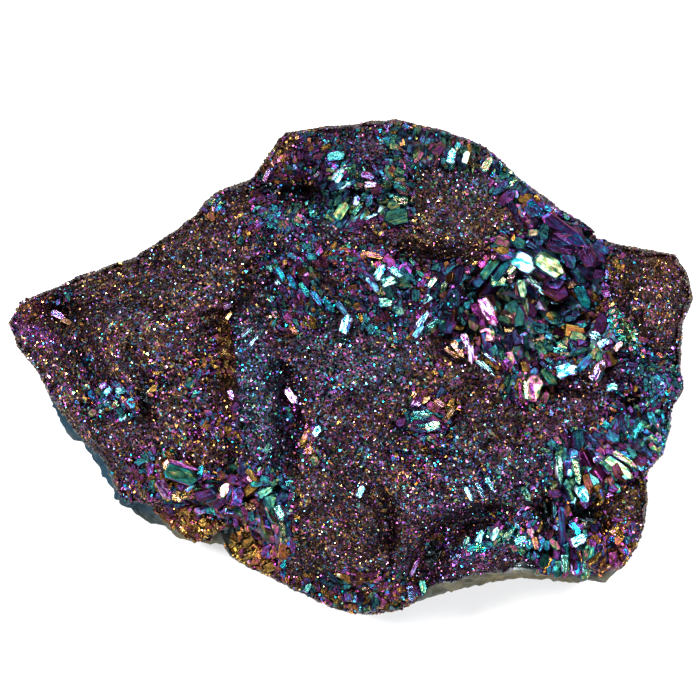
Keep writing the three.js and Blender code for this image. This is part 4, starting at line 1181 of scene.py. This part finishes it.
def blades_piece(name, plan, peak, cling, face, rows, material, rng):
    """One piece of blades lying on the crystal face."""
    kept = []
    for x, y, angle, up, long, wide, lift, film, shade, pale in rows:
        deep = in_from_outline(np.array([[x, y, 0.0]]))[0]
        hit = face.drop(x, y)
        if hit is None or deep < 0.5:
            continue
        long = min(long, 1.0 + 2.2 * deep)
        wide = min(wide, 0.7 * long)
        while long > 0.3 and overhangs(face, x, y, angle, long, wide):
            long, wide = 0.75 * long, 0.75 * wide
        ground = np.array(hit[1])
        lean = unit(up + cling * ground)
        along = np.array([math.cos(angle), math.sin(angle), 0.0])
        along = unit(along - lean * (along @ lean))
        size = (long, wide, max(0.3, 0.5 * wide))
        kept.append((np.array(hit[0]) + (0, 0, lift), along, lean, size, np.clip(film, 0, 1), shade, pale))
    places, along, up, scales, film, shade, pale = (np.array(column) for column in zip(*kept))
    frames = np.stack([along, np.cross(up, along), up], axis=2)
    # Painted shade in hollows.
    hollow = np.clip(-face.height_over_round(places[:, :2]) / 1.6, 0, 1)
    shade = shade * (1 - 0.2 * hollow)
    template = plate_template(plan, peak)
    mesh, normals = copies_mesh(name, template, places, frames, scales)
    lay_copies(mesh, template, len(places), rng)
    glint = np.clip(rng.uniform(0.2, 1.0, len(places)) * (0.2 + shade), 0, 1)
    coat_copies(mesh, normals, len(template[1]), (film, shade, glint, pale), 0.22, rng)
    finish_piece(name, mesh, material)


def overhangs(face, x, y, angle, long, wide):
    """Whether a corner of a blade is past the stone's outline."""
    c, s = math.cos(angle), math.sin(angle)
    for u, v in ((-0.55, -0.5), (0.55, -0.5), (0.55, 0.5), (-0.55, 0.5)):
        if face.drop(x + u * long * c - v * wide * s, y + u * long * s + v * wide * c) is None:
            return True
    return False


def plate_template(plan, peak):
    """A flat crystal of the given plan with bevelled sides, one unit long and wide, lying along X.

    With a peak, its top rises by that to a middle off its centre."""
    bm = bmesh.new()
    foot, top = ([bm.verts.new((x, y, z)) for x, y in plan] for z in (-0.6, 0.4))
    bm.faces.new(foot)
    face = bm.faces.new(top)
    # The sides are made one by one, because an extrusion gives them in another order each run.
    for corners in zip(foot, foot[1:] + foot[:1], top[1:] + top[:1], top):
        bm.faces.new(corners)
    bm.normal_update()
    bmesh.ops.inset_region(bm, faces=[face], thickness=0.07, depth=0.2)
    if peak:
        middle = bmesh.ops.poke(bm, faces=[face])["verts"][0]
        middle.co += Vector((0.1, -0.07, peak))
    return template_arrays(bm)


class AURA_OT_blades(Operator):
    """Lays overlapping blades over the coarse parts of the face"""

    bl_idname = "aura.blades"
    bl_label = "Blades"

    def execute(self, context):
        rng = np.random.default_rng(13)
        face = GROUND["face"]
        rows = flow_rows(face, rng)
        material = blade_material()
        blades_piece("blades", BLADE_PLAN, 0.0, 0.45, face, rows[::2], material, rng)
        blades_piece("shards", SHARD_PLAN, 0.18, 0.45, face, rows[1::2], material, rng)
        return {"FINISHED"}


class AURA_OT_large_crystals(Operator):
    """Sets the largest single crystals"""

    bl_idname = "aura.large_crystals"
    bl_label = "Largest crystals"

    def execute(self, context):
        rng = np.random.default_rng(14)
        material = bpy.data.materials["Film on blades"]
        rows = large_crystal_rows(rng)
        blades_piece("large_crystals", BLADE_PLAN, 0.0, 0.1, GROUND["face"], rows, material, rng)
        return {"FINISHED"}


def number(name, description, default, unit="NONE"):
    """A size or strength that a user may change."""
    return FloatProperty(name=name, description=description, default=default, unit=unit)


def colour(name, description, default):
    """A colour that a user may change."""
    return FloatVectorProperty(name=name, description=description, default=default, subtype="COLOR")


class AuraChalcedonySettings(PropertyGroup):
    sugar_size: number("Sugar size", "Fine crystals' width per zone's grain", 0.62)
    sugar_cover: number("Sugar cover", "Fine crystals per crystal's own area", 1.25)
    point_cover: number("Point cover", "Points per crystal's own area", 1.2)
    blade_cover: number("Blade cover", "Blades per grain's own area", 0.75)
    # Contrast sets how few crystals are painted bright as glints.
    contrast: number("Contrast", "How few of the crystals are bright", 6.0)
    camera_height: number("Camera height", "Camera above the floor", 0.6, "LENGTH")
    view_width: number("View width", "Width of the view across the crystal face", 0.070, "LENGTH")
    light_power: number("Light power", "Power of the strongest soft box", 14.0, "POWER")
    room_light: number("Room light", "Light from the room round the stone", 0.18)
    dull: colour("Dull", "The film on the dimmest crystals", (0.15, 0.11, 0.085))
    glint_white: colour("Glint white", "What the palest glints mix with", (0.62, 0.72, 0.74))
    slate: colour("Slate", "Bare stone at the rim and back", (0.012, 0.035, 0.055))
    slate_dark: colour("Dark slate", "Dark bands in the slate", (0.002, 0.006, 0.010))
    ochre: colour("Ochre", "Bare stone along the lower edge", (0.14, 0.105, 0.035))
    ochre_dark: colour("Dark ochre", "Dark bands in the ochre", (0.012, 0.018, 0.020))
    glass: colour("Pocket glass", "Bare stone in the pockets", (0.26, 0.31, 0.33))
    bronze: colour("Bronze", "The thinnest film", (0.10, 0.05, 0.02))
    gold: colour("Gold", "Second colour of the film from thin to thick", (0.85, 0.56, 0.10))
    copper: colour("Copper", "Third colour of the film", (0.50, 0.13, 0.02))
    maroon: colour("Maroon", "Fourth colour of the film", (0.20, 0.06, 0.05))
    magenta: colour("Magenta", "Fifth colour of the film", (0.46, 0.045, 0.34))
    violet: colour("Violet", "Sixth colour of the film", (0.22, 0.04, 0.38))
    blue: colour("Blue", "Seventh colour of the film", (0.01, 0.08, 0.42))
    cyan: colour("Cyan", "Eighth colour of the film", (0.01, 0.35, 0.50))
    teal: colour("Teal", "Ninth colour of the film", (0.00, 0.26, 0.26))
    green: colour("Green", "Tenth colour of the film", (0.04, 0.38, 0.20))
    pale_gold: colour("Pale gold", "Eleventh colour of the film", (0.50, 0.50, 0.09))
    pink: colour("Pink", "The thickest film", (0.75, 0.12, 0.44))


class AURA_PT_panel(Panel):
    bl_idname = "AURA_PT_panel"
    bl_label = "Aura Chalcedony"
    bl_space_type = "VIEW_3D"
    bl_region_type = "UI"
    bl_category = "Aura Chalcedony"

    def draw(self, context):
        for name in AuraChalcedonySettings.__annotations__:
            self.layout.prop(context.scene.aura_chalcedony, name)
        for step in STEPS:
            self.layout.operator(step.bl_idname)


STEPS = (
    AURA_OT_stage, AURA_OT_stone, AURA_OT_sugar, AURA_OT_points, AURA_OT_blades, AURA_OT_large_crystals,
)
CLASSES = (AuraChalcedonySettings, *STEPS, AURA_PT_panel)


def register():
    for cls in CLASSES:
        bpy.utils.register_class(cls)
    bpy.types.Scene.aura_chalcedony = PointerProperty(type=AuraChalcedonySettings)


def unregister():
    del bpy.types.Scene.aura_chalcedony
    for cls in reversed(CLASSES):
        bpy.utils.unregister_class(cls)


def main():
    register()
    bpy.ops.aura.stage()
    bpy.ops.aura.stone()
    bpy.ops.aura.sugar()
    bpy.ops.aura.points()
    bpy.ops.aura.blades()
    bpy.ops.aura.large_crystals()


if __name__ == "__main__":
    main()
